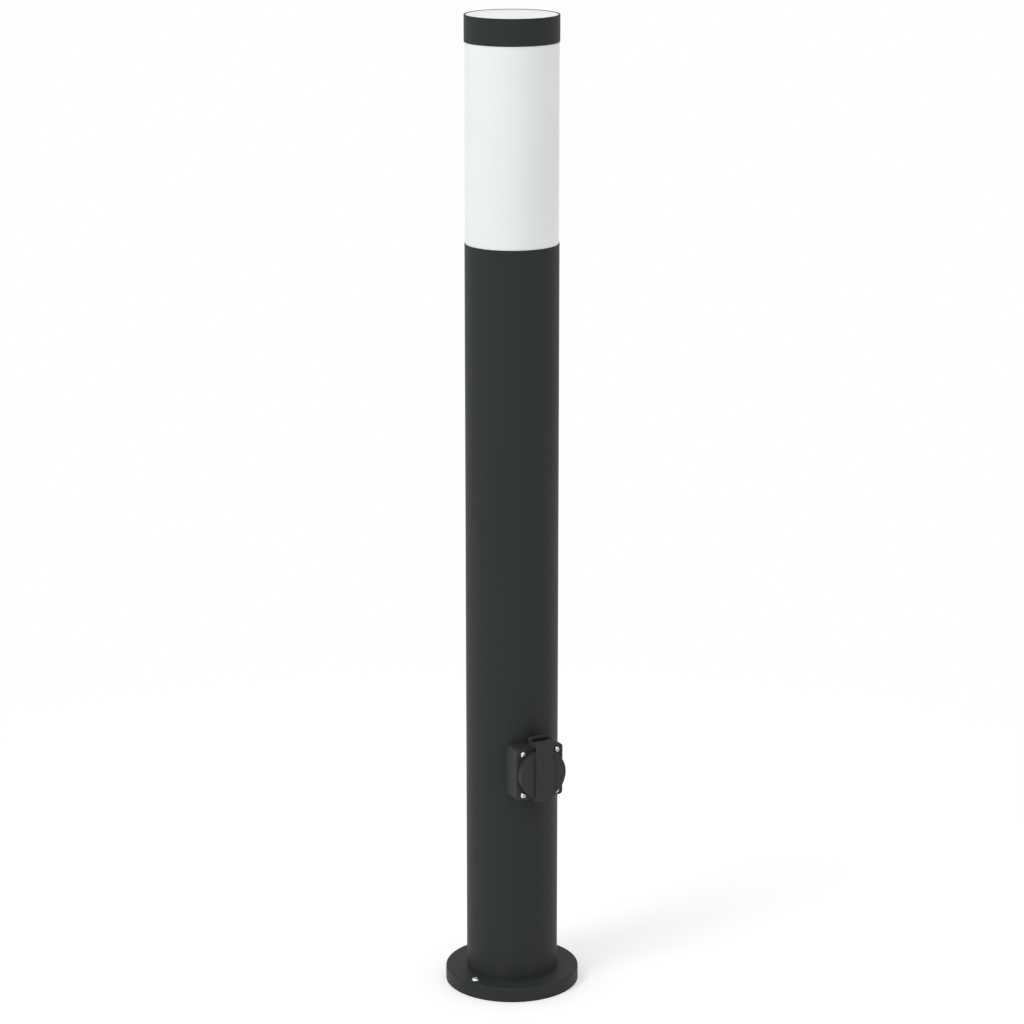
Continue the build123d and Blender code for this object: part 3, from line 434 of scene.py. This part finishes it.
def rubber(name, shade):
    """Moulded rubber: dull, with a pale bloom and a fine skin."""
    made = Finish(name, Specular_IOR_Level=0.25)
    bloom = made.noise(90, 4.0, 0.6).ramp(0.45, 0.8)
    skin = made.noise(2600, 2.0)
    clean = made.tint(shade, 0.8 + 0.4 * skin)
    made.set("Base Color", made.mix(0.16 * bloom, clean, (0.16, 0.16, 0.155)))
    made.set("Roughness", 0.62 + 0.18 * bloom + 0.08 * skin)
    made.bump(skin, 0.00006, 0.5)
    return made.material


def lead_sheath(name, shade):
    """Flexible sheath: matt, with a slight unevenness along its length."""
    made = Finish(name, Specular_IOR_Level=0.3)
    uneven = made.noise(180, 3.0)
    skin = made.noise(3000, 1.0)
    made.set("Base Color", made.tint(shade, 0.82 + 0.3 * uneven))
    made.set("Roughness", 0.50 + 0.16 * uneven + 0.08 * skin)
    made.bump(0.7 * uneven + 0.3 * skin, 0.00012, 0.5)
    return made.material


def moulded(name, shade, gloss, grain, depth, **constants):
    """A pale or dark moulding with flow marks and a fine grain."""
    made = Finish(name, **constants)
    flow = made.noise(40, 4.0, 0.55, made.stretched(1, 1, 0.4))
    fine = made.noise(grain, 2.0)
    made.set("Base Color", made.tint(shade, 0.90 + 0.14 * flow + 0.06 * fine))
    made.set("Roughness", gloss + 0.12 * flow + 0.10 * fine)
    made.bump(0.4 * flow + 0.6 * fine, depth, 0.4)
    return made.material


def connector_plastic(name, shade):
    depth = {"Subsurface_Weight": 0.15, "Subsurface_Scale": 0.002}
    return moulded(name, shade, 0.34, 1800, 0.00006, Specular_IOR_Level=0.45, **depth)


def carrier_plastic(name, shade):
    return moulded(name, shade, 0.42, 2400, 0.00008, Specular_IOR_Level=0.4)


def lamp_plastic(name, shade):
    return moulded(name, shade, 0.26, 2600, 0.00003, Specular_IOR_Level=0.5)


def lamp_opal(name, shade):
    depth = {"Subsurface_Weight": 0.3, "Subsurface_Scale": 0.003}
    return moulded(name, shade, 0.46, 3200, 0.00005, Specular_IOR_Level=0.4, **depth)


def porcelain(name, shade):
    """Glazed porcelain: a wavy clear glaze over a cream body, with a few pin holes."""
    made = Finish(name, Coat_Weight=0.6, Coat_Roughness=0.08, Specular_IOR_Level=0.5)
    wave = made.noise(75, 2.0)
    pits = 1 - made.cells(420).ramp(0.04, 0.12)
    body = made.noise(210, 4.0, 0.6)
    cream = made.tint(shade, 0.93 + 0.12 * body)
    made.set("Base Color", made.mix(0.5 * pits, cream, (0.42, 0.36, 0.28)))
    made.set("Roughness", 0.14 + 0.10 * body + 0.4 * pits)
    made.bump(wave - 0.3 * pits, 0.0003, 0.25)
    return made.material


FINISHES = {
    build.__name__: build
    for build in (
        powder_coat,
        socket_plastic,
        opal_plastic,
        zinc_steel,
        stainless,
        brass,
        nickel,
        spring_steel,
        rubber,
        lead_sheath,
        connector_plastic,
        carrier_plastic,
        porcelain,
        lamp_plastic,
        lamp_opal,
    )
}


def finish_of(slot):
    """The material of a slot, made when it is first asked for."""
    name = f"post_{slot}"
    return bpy.data.materials.get(name) or FINISHES[slot](name, getattr(colours(), slot))


def dress(*nodes):
    """Gives nodes of the frame the finish of their slot."""
    for node in nodes:
        held = NODES[node].data.materials
        held.clear()
        held.append(finish_of(SLOT_OF[node]))


def ease(node, width):
    """Breaks the sharp edges of a node of the frame, whose faces are joined up first."""
    weld = NODES[node].modifiers.new("joined faces", "WELD")
    weld.merge_threshold = 0.001 * MM
    edge = NODES[node].modifiers.new("eased edges", "BEVEL")
    edge.width, edge.segments = width, 2
    edge.limit_method, edge.angle_limit = "ANGLE", math.radians(40)


# Shapes


def soften(corners, steps=5):
    """Rounds an outline. A corner is (radius, height), or with a third number for its rounding."""
    outline = []
    for index, corner in enumerate(corners):
        here = Vector(corner[:2])
        if len(corner) < 3:
            outline.append(tuple(here))
            continue
        back = Vector(corners[index - 1][:2]) - here
        ahead = Vector(corners[(index + 1) % len(corners)][:2]) - here
        reach = corner[2] / math.tan(back.angle(ahead) / 2)
        reach = min(reach, 0.49 * back.length, 0.49 * ahead.length)
        start = here + back.normalized() * reach
        end = here + ahead.normalized() * reach
        for step in range(steps + 1):
            share = step / steps
            outline.append(
                tuple(start * (1 - share) ** 2 + here * 2 * share * (1 - share) + end * share**2)
            )
    return outline


def lathe(outline, turns=96, closed=True):
    """Sweeps (radius, height) points about Z. A radius can be a function of the angle."""
    work = bmesh.new()
    rings = []
    for radius, height in outline:
        if not callable(radius) and radius < 1e-7:
            rings.append([work.verts.new((0, 0, height))])
            continue
        ring = []
        for turn in range(turns):
            angle = 2 * math.pi * turn / turns
            r = radius(angle) if callable(radius) else radius
            ring.append(work.verts.new((r * math.cos(angle), r * math.sin(angle), height)))
        rings.append(ring)
    pairs = list(zip(rings, rings[1:]))
    if closed:
        pairs.append((rings[-1], rings[0]))
    for low, high in pairs:
        if len(low) == len(high) == 1:
            continue
        for turn in range(turns):
            ahead = (turn + 1) % turns
            if len(low) == 1:
                work.faces.new((low[0], high[ahead], high[turn]))
            elif len(high) == 1:
                work.faces.new((low[turn], low[ahead], high[0]))
            else:
                work.faces.new((low[turn], low[ahead], high[ahead], high[turn]))
    bmesh.ops.recalc_face_normals(work, faces=work.faces)
    return finished_mesh(work)


def thread(crest, depth, base, top, pitch, rows=8):
    """Outline points of a helical thread between two heights, fading out at both ends."""
    count = max(2, round(abs(top - base) / pitch * rows))
    points = []
    for row in range(count + 1):
        height = base + (top - base) * row / count
        fade = min(1, min(abs(height - base), abs(top - height)) / pitch)

        def radius(angle, height=height, fade=fade):
            wave = 0.5 - 0.5 * math.cos(2 * math.pi * height / pitch - angle)
            return crest - depth * (1 - fade * (1 - wave))

        points.append((radius, height))
    return points


def smoothed(mesh):
    """The mesh, smooth but for its real edges."""
    mesh.shade_smooth()
    mesh.set_sharp_from_angle(angle=SHARP)
    return mesh


def finished_mesh(work):
    """A smoothed mesh from a bmesh, which is used up."""
    mesh = bpy.data.meshes.new("shape")
    work.to_mesh(mesh)
    work.free()
    return smoothed(mesh)


def joined(mesh, places):
    """One mesh with a copy of another at each place."""
    work = bmesh.new()
    for place in places:
        copy = mesh.copy()
        copy.transform(place)
        work.from_mesh(copy)
        bpy.data.meshes.remove(copy)
    return finished_mesh(work)


def carved(mesh, *cutters):
    """The mesh with other closed meshes cut out of it."""
    body = bpy.data.objects.new("body", mesh)
    bpy.context.scene.collection.objects.link(body)
    tools = []
    for cutter in cutters:
        tool = bpy.data.objects.new("tool", cutter)
        bpy.context.scene.collection.objects.link(tool)
        tools.append(tool)
        cut = body.modifiers.new("cut", "BOOLEAN")
        cut.operation, cut.solver, cut.object = "DIFFERENCE", "EXACT", tool
    graph = bpy.context.evaluated_depsgraph_get()
    result = bpy.data.meshes.new_from_object(body.evaluated_get(graph))
    for spent in (body, *tools):
        bpy.data.objects.remove(spent)
    result.materials.clear()
    return smoothed(result)


def prism(points, low, high, taper=1.0):
    """A closed mesh from a flat outline, smaller at its low end by the taper."""
    work = bmesh.new()
    foot = [work.verts.new((x * taper, y * taper, low)) for x, y in points]
    head = [work.verts.new((x, y, high)) for x, y in points]
    work.faces.new(list(reversed(foot)))
    work.faces.new(head)
    for index in range(len(points)):
        ahead = (index + 1) % len(points)
        work.faces.new((foot[index], foot[ahead], head[ahead], head[index]))
    bmesh.ops.recalc_face_normals(work, faces=work.faces)
    return finished_mesh(work)


def swept(route, radius, sides=20):
    """A closed round bar along a line of points."""
    work = bmesh.new()
    side = None
    rings = []
    for index, here in enumerate(route):
        along = (route[min(index + 1, len(route) - 1)] - route[max(index - 1, 0)]).normalized()
        side = along.orthogonal() if side is None else side - along * side.dot(along)
        side.normalize()
        across = along.cross(side)
        ring = []
        for turn in range(sides):
            around = 2 * math.pi * turn / sides
            out = side * math.cos(around) + across * math.sin(around)
            ring.append(work.verts.new(here + out * radius))
        rings.append(ring)
    for low, high in zip(rings, rings[1:]):
        for turn in range(sides):
            ahead = (turn + 1) % sides
            work.faces.new((low[turn], low[ahead], high[ahead], high[turn]))
    work.faces.new(rings[0])
    work.faces.new(rings[-1])
    bmesh.ops.recalc_face_normals(work, faces=work.faces)
    return finished_mesh(work)


def facing_front(x, y, z, spin=0.0):
    """A place whose own Z points the way the socket faces."""
    return (
        Matrix.Translation((x, y, z))
        @ Matrix.Rotation(math.pi / 2, 4, "X")
        @ Matrix.Rotation(spin, 4, "Z")
    )


def facing_up(x, y, z, spin=0.0):
    return Matrix.Translation((x, y, z)) @ Matrix.Rotation(spin, 4, "Z")


def cross_screw(radius, shank, head, height, pitch):
    """A pan-head screw with a cross recess: its seat at zero, its thread below.

    The bare numbers are shares of the head's radius and height and of the shank's length.
    """
    outline = soften(
        [
            (0, height),
            (head * 0.62, height * 0.97, head * 0.4),
            (head, height * 0.38, height * 0.35),
            (head, 0, height * 0.1),
            (radius, 0),
        ]
    )
    outline[0] = (0, height)
    outline += thread(radius, 0.12 * radius, -0.02 * shank, -0.95 * shank, pitch, rows=5)
    outline += [(radius * 0.7, -shank), (0, -shank)]
    body = lathe(outline, turns=36, closed=False)
    arm, half = head * 0.60, head * 0.15
    cross = [
        (arm, -half), (arm, half), (half, half), (half, arm), (-half, arm), (-half, half),
        (-arm, half), (-arm, -half), (-half, -half), (-half, -arm), (half, -arm), (half, -half),
    ]
    return carved(body, prism(cross, height * 0.25, height * 1.3, taper=0.45))


def add_piece(name, data, node, body=None, slot=None, stands_for=True):
    """Adds a finished piece that rides with the body of a node of the frame and stands for it."""
    old = bpy.data.objects.get(name)
    if old is not None:
        bpy.data.objects.remove(old)
    piece = bpy.data.objects.new(name, data)
    bpy.context.scene.collection.objects.link(piece)
    slot = slot or SLOT_OF[node]
    data.materials.clear()
    data.materials.append(finish_of(slot))
    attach(piece, body or BODY_OF[node])
    if stands_for:
        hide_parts(node)
    return piece


# Pieces


class PieceOperator:
    """What all the operators here share."""

    bl_options = {"REGISTER", "UNDO"}

    def execute(self, context):
        self.build()
        return {"FINISHED"}


class POST_OT_foot(PieceOperator, bpy.types.Operator):
    """Foot, ground plate and the rubber grommet for the supply cable"""

    bl_idname = "socket_post.foot"
    bl_label = "Foot"

    def build(self):
        dress("base_flange", "mounting_bracket")
        size = sizes()
        low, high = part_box("cable_grommet")
        bore, neck, seat = size.grommet_bore, size.grommet_neck, size.grommet_plate
        rim, top = high.x, high.z
        step = (neck - bore) / 4
        groove = (top - seat) * 0.3
        outline = [
            (bore, low.z, 0.4 * MM),
            (neck, low.z, 0.4 * MM),
            (neck, seat),
            (rim, seat, 0.3 * MM),
            (rim, top, 0.8 * MM),
        ]
        for ring in (3, 2, 1):
            outline += [
                (bore + (ring + 0.35) * step, top, 0.15 * MM),
                (bore + (ring + 0.2) * step, top - groove),
                (bore + (ring - 0.05) * step, top - groove),
                (bore + (ring - 0.2) * step, top, 0.15 * MM),
            ]
        outline += [(bore, top, 0.4 * MM)]
        add_piece("supply_grommet", lathe(soften(outline)), "cable_grommet")


class POST_OT_tube(PieceOperator, bpy.types.Operator):
    """The long powder-coated tube"""

    bl_idname = "socket_post.tube"
    bl_label = "Tube"

    def build(self):
        dress("post_tube")


class POST_OT_head(PieceOperator, bpy.types.Operator):
    """Opal diffuser, black band, and the seat and seal in the tube's mouth"""

    bl_idname = "socket_post.head"
    bl_label = "Lamp head"

    def build(self):
        dress("cap_ring", "head_seat", "head_seal")
        size = sizes()
        low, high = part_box("diffuser")
        band_low, band_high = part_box("cap_ring")
        wall, top = size.diffuser_wall, size.diffuser_top
        rebate = band_high.x - size.band_rim
        edge = size.diffuser_edge
        outline = [
            (high.x - wall, low.z, 0.3 * MM),
            (high.x, low.z, edge),
            (high.x, band_low.z, 0.2 * MM),
            (rebate, band_low.z),
            (rebate, high.z, 1.2 * edge),
            (0, high.z),
            (0, high.z - top),
            (rebate - wall, high.z - top, 2 * MM),
            (rebate - wall, band_low.z - size.diffuser_neck, 0.5 * MM),
            (high.x - wall, band_low.z - size.diffuser_neck - wall / 2, 0.5 * MM),
        ]
        add_piece("opal_diffuser", lathe(soften(outline), turns=160), "diffuser")


class POST_OT_lamp(PieceOperator, bpy.types.Operator):
    """The screw-in lamp: dome, housing, threaded cap and centre contact"""

    bl_idname = "socket_post.lamp"
    bl_label = "Lamp"

    def build(self):
        dress("bulb_body")
        size = sizes()
        self.dome(size)
        self.cap(size)
        self.contact()

    def dome(self, size):
        """A short skirt under a quarter round, outside and inside."""
        low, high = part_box("bulb_globe")
        radius, base = high.x, high.z - high.x
        outline = [(radius - size.dome_wall, low.z), (radius, low.z)]
        steps = 24
        for reach, ends in ((radius, (0, 90)), (radius - size.dome_wall, (90, 0))):
            for step in range(steps + 1):
                rise = math.radians(ends[0] + (ends[1] - ends[0]) * step / steps)
                outline.append((reach * math.cos(rise), base + reach * math.sin(rise)))
        add_piece("opal_dome", lathe(outline), "bulb_globe")

    def cap(self, size):
        """The screw cap: its thread, then a flare up to a plain collar."""
        low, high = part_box("bulb_base")
        depth, inner = size.cap_depth, size.cap_inner
        crest, root = high.x, high.x - depth
        thread_low, thread_high = low.z + 0.3 * MM, high.z - 4 * MM
        collar = [
            (root, thread_high),
            (crest, thread_high + 2 * depth, 0.3 * MM),
            (crest, high.z, 0.3 * MM),
            (inner, high.z),
        ]
        outline = [(inner, low.z), (root, low.z)]
        outline += thread(crest, depth, thread_low, thread_high, size.cap_pitch, rows=10)
        outline += soften(collar)[1:]
        add_piece("lamp_cap", lathe(outline, turns=72), "bulb_base")

    def contact(self):
        """The brass button and the dark insulator round it."""
        low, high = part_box("bulb_tip")
        waist, button = low.z + 1.5 * MM, 4.5 * MM
        tip = soften([(0, low.z), (button, low.z, 1.2 * MM), (button, waist), (0, waist)])
        add_piece("lamp_contact", lathe(tip, turns=48, closed=False), "bulb_tip")
        cone = [
            (0, waist),
            (button, waist),
            (high.x * 0.72, waist + 1.2 * MM, 1 * MM),
            (high.x, high.z),
            (0, high.z),
        ]
        mesh = lathe(soften(cone), turns=60, closed=False)
        add_piece("lamp_insulator", mesh, "bulb_tip", slot="carrier_plastic", stands_for=False)


class POST_OT_lampholder(PieceOperator, bpy.types.Operator):
    """Porcelain holder with its threaded shell, contact, nut and plate"""

    bl_idname = "socket_post.lampholder"
    bl_label = "Lampholder"

    def build(self):
        dress("lamp_plate", "holder_contact")
        ease("holder_contact", 0.12 * MM)
        size = sizes()
        self.porcelain(size)
        self.nut(size)
        self.shell(size)

    def shell(self, size):
        """Pressed metal shell with the thread showing on both sides."""
        low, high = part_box("holder_shell")
        outer, inner = high.x, high.x - size.shell_wall
        floor = low.z + size.shell_floor
        top, lead_in = high.z - 0.6 * MM, 1 * MM
        outline = [(size.shell_opening, low.z), (outer, low.z)]
        outline += thread(outer, 0.5 * MM, low.z + lead_in, top, size.cap_pitch)
        outline += [(outer, high.z), (inner, high.z)]
        outline += thread(inner, 0.2 * MM, top, floor + lead_in, size.cap_pitch)
        outline += [(inner, floor), (size.shell_opening, floor)]
        add_piece("threaded_shell", lathe(outline, turns=72), "holder_shell")

    def porcelain(self, size):
        """The holder's body on its threaded nipple, with two grooves for the grip."""
        low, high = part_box("lampholder")
        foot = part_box("lamp_plate")[1].z
        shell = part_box("holder_shell")[0].z
        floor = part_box("holder_contact")[0].z
        outer, groove, crest, depth = high.x, size.holder_groove, size.nipple, 0.5 * MM
        root = crest - depth
        ends = low.z + 0.3 * MM, foot - 0.4 * MM
        outline = [(size.nipple_bore, low.z), (root, low.z)]
        outline += thread(crest, depth, *ends, size.nipple_pitch, rows=6)
        body = [
            (root, foot),
            (size.holder_foot, foot, 0.8 * MM),
            (outer, foot + size.holder_cone, 3 * MM),
        ]
        for level in (0.55, 0.75):
            z = foot + (high.z - foot) * level
            body += [
                (outer, z, groove),
                (outer - groove, z + groove, groove),
                (outer - groove, z + 3 * groove, groove),
                (outer, z + 4 * groove, groove),
            ]
        body += [
            (outer, high.z, 1.4 * MM),
            (size.holder_bore, high.z, 0.8 * MM),
            (size.holder_bore, shell),
            (size.holder_cavity, shell),
            (size.holder_cavity, floor),
            (0, floor),
            (0, foot + size.nipple_blind),
            (size.nipple_bore, foot + size.nipple_blind),
        ]
        add_piece("holder_body", lathe(outline + soften(body)), "lampholder")

    def nut(self, size):
        """A six-sided nut with chamfered corners."""
        low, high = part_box("holder_nut")
        flat, corner = high.y, high.x
        drop = (corner - size.nut_face) * 0.6

        def side(limit):
            return lambda angle: min(limit, flat / math.cos(angle % (math.pi / 3) - math.pi / 6))

        half = (corner + size.nut_face) / 2
        outline = [
            (size.nut_bore, low.z),
            (size.nut_face, low.z),
            (side(half), low.z + drop / 2),
            (side(corner), low.z + drop),
            (side(corner), high.z - drop),
            (side(half), high.z - drop / 2),
            (size.nut_face, high.z),
            (size.nut_bore, high.z),
        ]
        add_piece("clamping_nut", lathe(outline), "holder_nut")


class POST_OT_socket(PieceOperator, bpy.types.Operator):
    """Socket moulding, gasket, contact carrier and contacts"""

    bl_idname = "socket_post.socket"
    bl_label = "Socket"

    def build(self):
        dress("socket_housing", "socket_gasket", "socket_carrier", "earth_clip")
        ease("earth_clip", 0.15 * MM)
        size = sizes()
        low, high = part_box("pin_contacts")
        radius, reach, long = (high.z - low.z) / 2, -low.y, high.y - low.y
        bore = radius - size.sleeve_wall
        wall = [(bore, 0, 0.25 * MM), (radius, 0, 0.2 * MM), (radius, -long), (bore, -long)]
        out, half = 2 * radius, size.sleeve_slot / 2
        slot = [(-out, -half), (out, -half), (out, half), (-out, half)]
        sleeve = carved(lathe(soften(wall), turns=48), prism(slot, -0.6 * long, long))
        middle = (low.z + high.z) / 2
        side = high.x - radius
        places = [facing_front(x, -reach, middle, math.pi / 4) for x in (-side, side)]
        add_piece("pin_sleeves", joined(sleeve, places), "pin_contacts")


class POST_OT_lid(PieceOperator, bpy.types.Operator):
    """Flap lid with its seal, hinge pin and spring"""

    bl_idname = "socket_post.lid"
    bl_label = "Lid"

    def build(self):
        dress("lid")
        size = sizes()
        self.seal(size)
        self.spring(size)
        low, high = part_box("hinge_pin")
        radius, half = (high.z - low.z) / 2, high.x
        chamfer = size.pin_head
        outline = [
            (0, -half), (radius - chamfer, -half), (radius, -half + chamfer),
            (radius, half - chamfer), (radius - chamfer, half), (0, half),
        ]
        pin = lathe(outline, turns=40, closed=False)
        middle = Matrix.Translation((0, (low.y + high.y) / 2, (low.z + high.z) / 2))
        pin.transform(middle @ Matrix.Rotation(math.pi / 2, 4, "Y"))
        add_piece("lid_pin", pin, "hinge_pin")

    def seal(self, size):
        """A ring with two lips on its back."""
        low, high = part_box("lid_seal")
        outer, thick = high.x, high.y - low.y
        inner, lip = outer - size.seal_width, size.seal_lip
        step = size.seal_width / 6
        ring = soften(
            [
                (inner, thick, 0.1 * MM),
                (inner, lip),
                (inner + step, 0, 0.15 * MM),
                (inner + 2 * step, lip, 0.15 * MM),
                (outer - 2 * step, lip, 0.15 * MM),
                (outer - step, 0, 0.15 * MM),
                (outer, lip),
                (outer, thick, 0.1 * MM),
            ],
            steps=3,
        )
        mesh = lathe(ring, turns=144)
        mesh.transform(facing_front(0, high.y, (low.z + high.z) / 2))
        add_piece("lipped_seal", mesh, "lid_seal")

    def spring(self, size):
        """The coil and its back leg stay with the post, and the other leg goes with the lid."""
        low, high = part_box("hinge_pin")
        y, z = (low.y + high.y) / 2, (low.z + high.z) / 2
        # turns of the coil: the back leg slopes down a little, so that the opened lid's neck passes
        # above it, and coil and front leg overlap a little where they part
        start, split, turns, overlap = -0.05, 4.0, 4.25, 0.02
        steps_a_turn = 24

        def on_coil(turn, ahead=0.0):
            """The place at a turn of the coil, or further on along its tangent there."""
            angle = 2 * math.pi * turn
            return Vector(
                (
                    size.spring_pitch * (turn - turns / 2),
                    y - size.spring_coil * math.sin(angle) - ahead * math.cos(angle),
                    z + size.spring_coil * math.cos(angle) - ahead * math.sin(angle),
                )
            )

        def bend(first, last):
            count = round((last - first) * steps_a_turn)
            return [on_coil(first + (last - first) * step / count) for step in range(count + 1)]

        coil = [on_coil(start, -size.spring_back_leg)] + bend(start, split + overlap)
        leg = bend(split, turns) + [on_coil(turns, size.spring_lid_leg)]
        add_piece("spring_coil", swept(coil, size.spring_wire), "lid_spring")
        bar = swept(leg, size.spring_wire)
        add_piece("spring_leg", bar, "lid_spring", body=BODY_OF["lid"], stands_for=False)


class POST_OT_connector(PieceOperator, bpy.types.Operator):
    """Three-pole connector on its plate"""

    bl_idname = "socket_post.connector"
    bl_label = "Connector"

    def build(self):
        dress("terminal_carrier", "terminal_block", "terminal_sleeves", "terminal_screws")


class POST_OT_leads(PieceOperator, bpy.types.Operator):
    """The two sheathed leads inside the tube"""

    bl_idname = "socket_post.leads"
    bl_label = "Leads"

    # points that steer each lead, in millimetres
    routes = {
        "lamp_lead": [
            (-8, 15, 60), (-8, 15, 112), (-9.8, 13.2, 188), (-8.2, 12.4, 268), (-6.4, 14.2, 345),
            (-7.4, 12.6, 420), (-4.6, 8.8, 480), (-1.2, 2.6, 524), (0, 0, 552), (0, 0, 578),
        ],
        "socket_lead": [
            (8, 15, 60), (8, 15, 80), (8.4, 6.2, 110), (8.9, -11.8, 136),
            (9.5, -26, 160), (9.5, -26, 186.5),
        ],
    }

    def build(self):
        for node, route in self.routes.items():
            curve = bpy.data.curves.new(node, "CURVE")
            curve.dimensions = "3D"
            curve.bevel_depth = sizes().lead_radius
            curve.bevel_resolution = 8
            curve.use_fill_caps = True
            line = curve.splines.new("NURBS")
            line.points.add(len(route) - 1)
            for point, place in zip(line.points, route):
                point.co = (*(value * MM for value in place), 1)
            line.order_u = 3
            line.use_endpoint_u = True
            line.resolution_u = 12
            add_piece(node + "_run", curve, node)


class POST_OT_screws(PieceOperator, bpy.types.Operator):
    """All cross-head screws: foot, socket, contact carrier, connector and earth"""

    bl_idname = "socket_post.screws"
    bl_label = "Screws"

    # node: shank radius, head radius, head height, pitch, all in millimetres
    kinds = {
        "base_screws": (2.0, 3.4, 2.8, 0.7),
        "socket_screws": (1.5, 2.45, 1.7, 0.5),
        "carrier_screw": (1.5, 2.8, 1.5, 0.5),
        "block_screws": (1.25, 2.3, 1.8, 0.45),
        "earth_screw": (2.0, 4.0, 2.6, 0.7),
    }

    def build(self):
        for node, (radius, head, height, pitch) in self.kinds.items():
            radius, head, height, pitch = (value * MM for value in (radius, head, height, pitch))
            low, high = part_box(node)
            x, y = high.x - head, high.y - head
            if node == "base_screws":
                shank = high.z - low.z - height
                seat = high.z - height
                places = [facing_up(x, y, seat, 0.5), facing_up(-x, -y, seat, 1.1)]
            else:
                shank = high.y - low.y - height
                middle, rise = (low.z + high.z) / 2, (high.z - low.z) / 2 - head
                xs = (0,) if x < 0.1 * MM else (-x, x)
                zs = (middle,) if rise < 0.1 * MM else (middle - rise, middle + rise)
                spots = [(side, level) for side in xs for level in zs]
                places = [
                    facing_front(side, low.y + height, level, 0.35 + 0.6 * n)
                    for n, (side, level) in enumerate(spots)
                ]
            screw = cross_screw(radius, shank, head, height, pitch)
            add_piece(node + "_set", joined(screw, places), node)


class POST_OT_stage(PieceOperator, bpy.types.Operator):
    """Pale floor, soft lights, white surroundings and the camera"""

    bl_idname = "socket_post.stage"
    bl_label = "Stage"

    def build(self):
        stage = bpy.context.scene.socket_post_stage
        bpy.context.scene.view_settings.view_transform = "Standard"
        self.floor(stage)
        self.surroundings(stage)
        self.key_lamp(stage)
        self.camera(stage)

    def camera(self, stage):
        """The camera at the photograph's viewing angle."""
        camera = bpy.data.cameras.new("camera")
        camera.lens, camera.sensor_width, camera.sensor_fit = stage.camera_lens, 36, "HORIZONTAL"
        camera.clip_end = 60
        held = bpy.data.objects.new("camera", camera)
        held.location = stage.camera_place
        held.rotation_euler = (math.pi / 2 - stage.camera_pitch, 0, stage.camera_heading)
        bpy.context.scene.collection.objects.link(held)
        bpy.context.scene.camera = held

    def floor(self, stage):
        """A round floor, lit and lifted a little near the post, and white from there on."""
        rings = (0.25, 0.6, 1.5, 4.0, stage.floor_radius)
        outline = [(0, 0)] + [(radius, 0) for radius in rings]
        floor = bpy.data.objects.new("floor", lathe(outline, closed=False))
        for face in floor.data.polygons:
            face.use_smooth = False
        if floor.data.polygons[0].normal.z < 0:
            floor.data.flip_normals()
        bpy.context.scene.collection.objects.link(floor)
        made = Finish("studio_floor", Specular_IOR_Level=0.1, Roughness=0.8)
        tone = 0.985 + 0.03 * made.noise(3, 3.0)
        made.set("Base Color", made.tint(stage.floor_colour, tone))
        length_of = {"operation": "LENGTH"}
        away = made.node("ShaderNodeVectorMath", length_of, {0: made.place}, output="Value")
        seen = made.seen_directly()
        white = self.glow(made, 1.0)
        lift = self.glow(made, stage.floor_lift + stage.seen_lift * seen)
        lit = Wire(made, made.shader.outputs[0])
        near = made.node("ShaderNodeAddShader", inputs={0: lit, 1: lift})
        far = seen * away.ramp(stage.fade_start, stage.fade_end)
        shown = made.node("ShaderNodeMixShader", inputs={0: far, 1: near, 2: white})
        made.show(shown)
        floor.data.materials.append(made.material)

    def glow(self, made, strength):
        """White light of its own."""
        return made.node("ShaderNodeEmission", inputs={"Color": WHITE, "Strength": strength})

    def surroundings(self, stage):
        """White where it is seen, and an even soft light everywhere else."""
        world = bpy.data.worlds.new("surroundings")
        made = Graph(world, "ShaderNodeOutputWorld")
        strength = stage.fill_level + (1 - stage.fill_level) * made.seen_directly()
        light = {"Color": WHITE, "Strength": strength}
        made.show(made.node("ShaderNodeBackground", inputs=light))
        bpy.context.scene.world = world

    def key_lamp(self, stage):
        """A large soft lamp that faces a point of the post."""
        light = bpy.data.lights.new("key_lamp", "AREA")
        light.shape, light.size, light.energy = "DISK", stage.key_size, stage.key_power
        held = bpy.data.objects.new("key_lamp", light)
        held.location = stage.key_place
        way = Vector(stage.key_target) - Vector(stage.key_place)
        held.rotation_euler = way.to_track_quat("-Z", "Y").to_euler()
        bpy.context.scene.collection.objects.link(held)


OPERATORS = (
    POST_OT_tube,
    POST_OT_foot,
    POST_OT_head,
    POST_OT_lamp,
    POST_OT_lampholder,
    POST_OT_socket,
    POST_OT_lid,
    POST_OT_connector,
    POST_OT_leads,
    POST_OT_screws,
    POST_OT_stage,
)


class POST_PT_panel(bpy.types.Panel):
    """Lists the pieces of the post"""

    bl_idname = "POST_PT_panel"
    bl_label = "Garden socket post"
    bl_space_type = "VIEW_3D"
    bl_region_type = "UI"
    bl_category = "Socket Post"

    def draw(self, context):
        for operator in OPERATORS:
            self.layout.operator(operator.bl_idname)
        scene = context.scene
        for group in (scene.socket_post_sizes, scene.socket_post_colours, scene.socket_post_stage):
            box = self.layout.box()
            for name in group.__annotations__:
                box.prop(group, name)


CLASSES = (PostSizes, PostColours, PostStage, *OPERATORS, POST_PT_panel)


def register():
    for cls in CLASSES:
        bpy.utils.register_class(cls)
    bpy.types.Scene.socket_post_sizes = bpy.props.PointerProperty(type=PostSizes)
    bpy.types.Scene.socket_post_colours = bpy.props.PointerProperty(type=PostColours)
    bpy.types.Scene.socket_post_stage = bpy.props.PointerProperty(type=PostStage)


def unregister():
    del bpy.types.Scene.socket_post_stage
    del bpy.types.Scene.socket_post_colours
    del bpy.types.Scene.socket_post_sizes
    for cls in reversed(CLASSES):
        bpy.utils.unregister_class(cls)


def main():
    register()
    for operator in OPERATORS:
        group, name = operator.bl_idname.split(".")
        getattr(getattr(bpy.ops, group), name)()


if __name__ == "__main__":
    main()
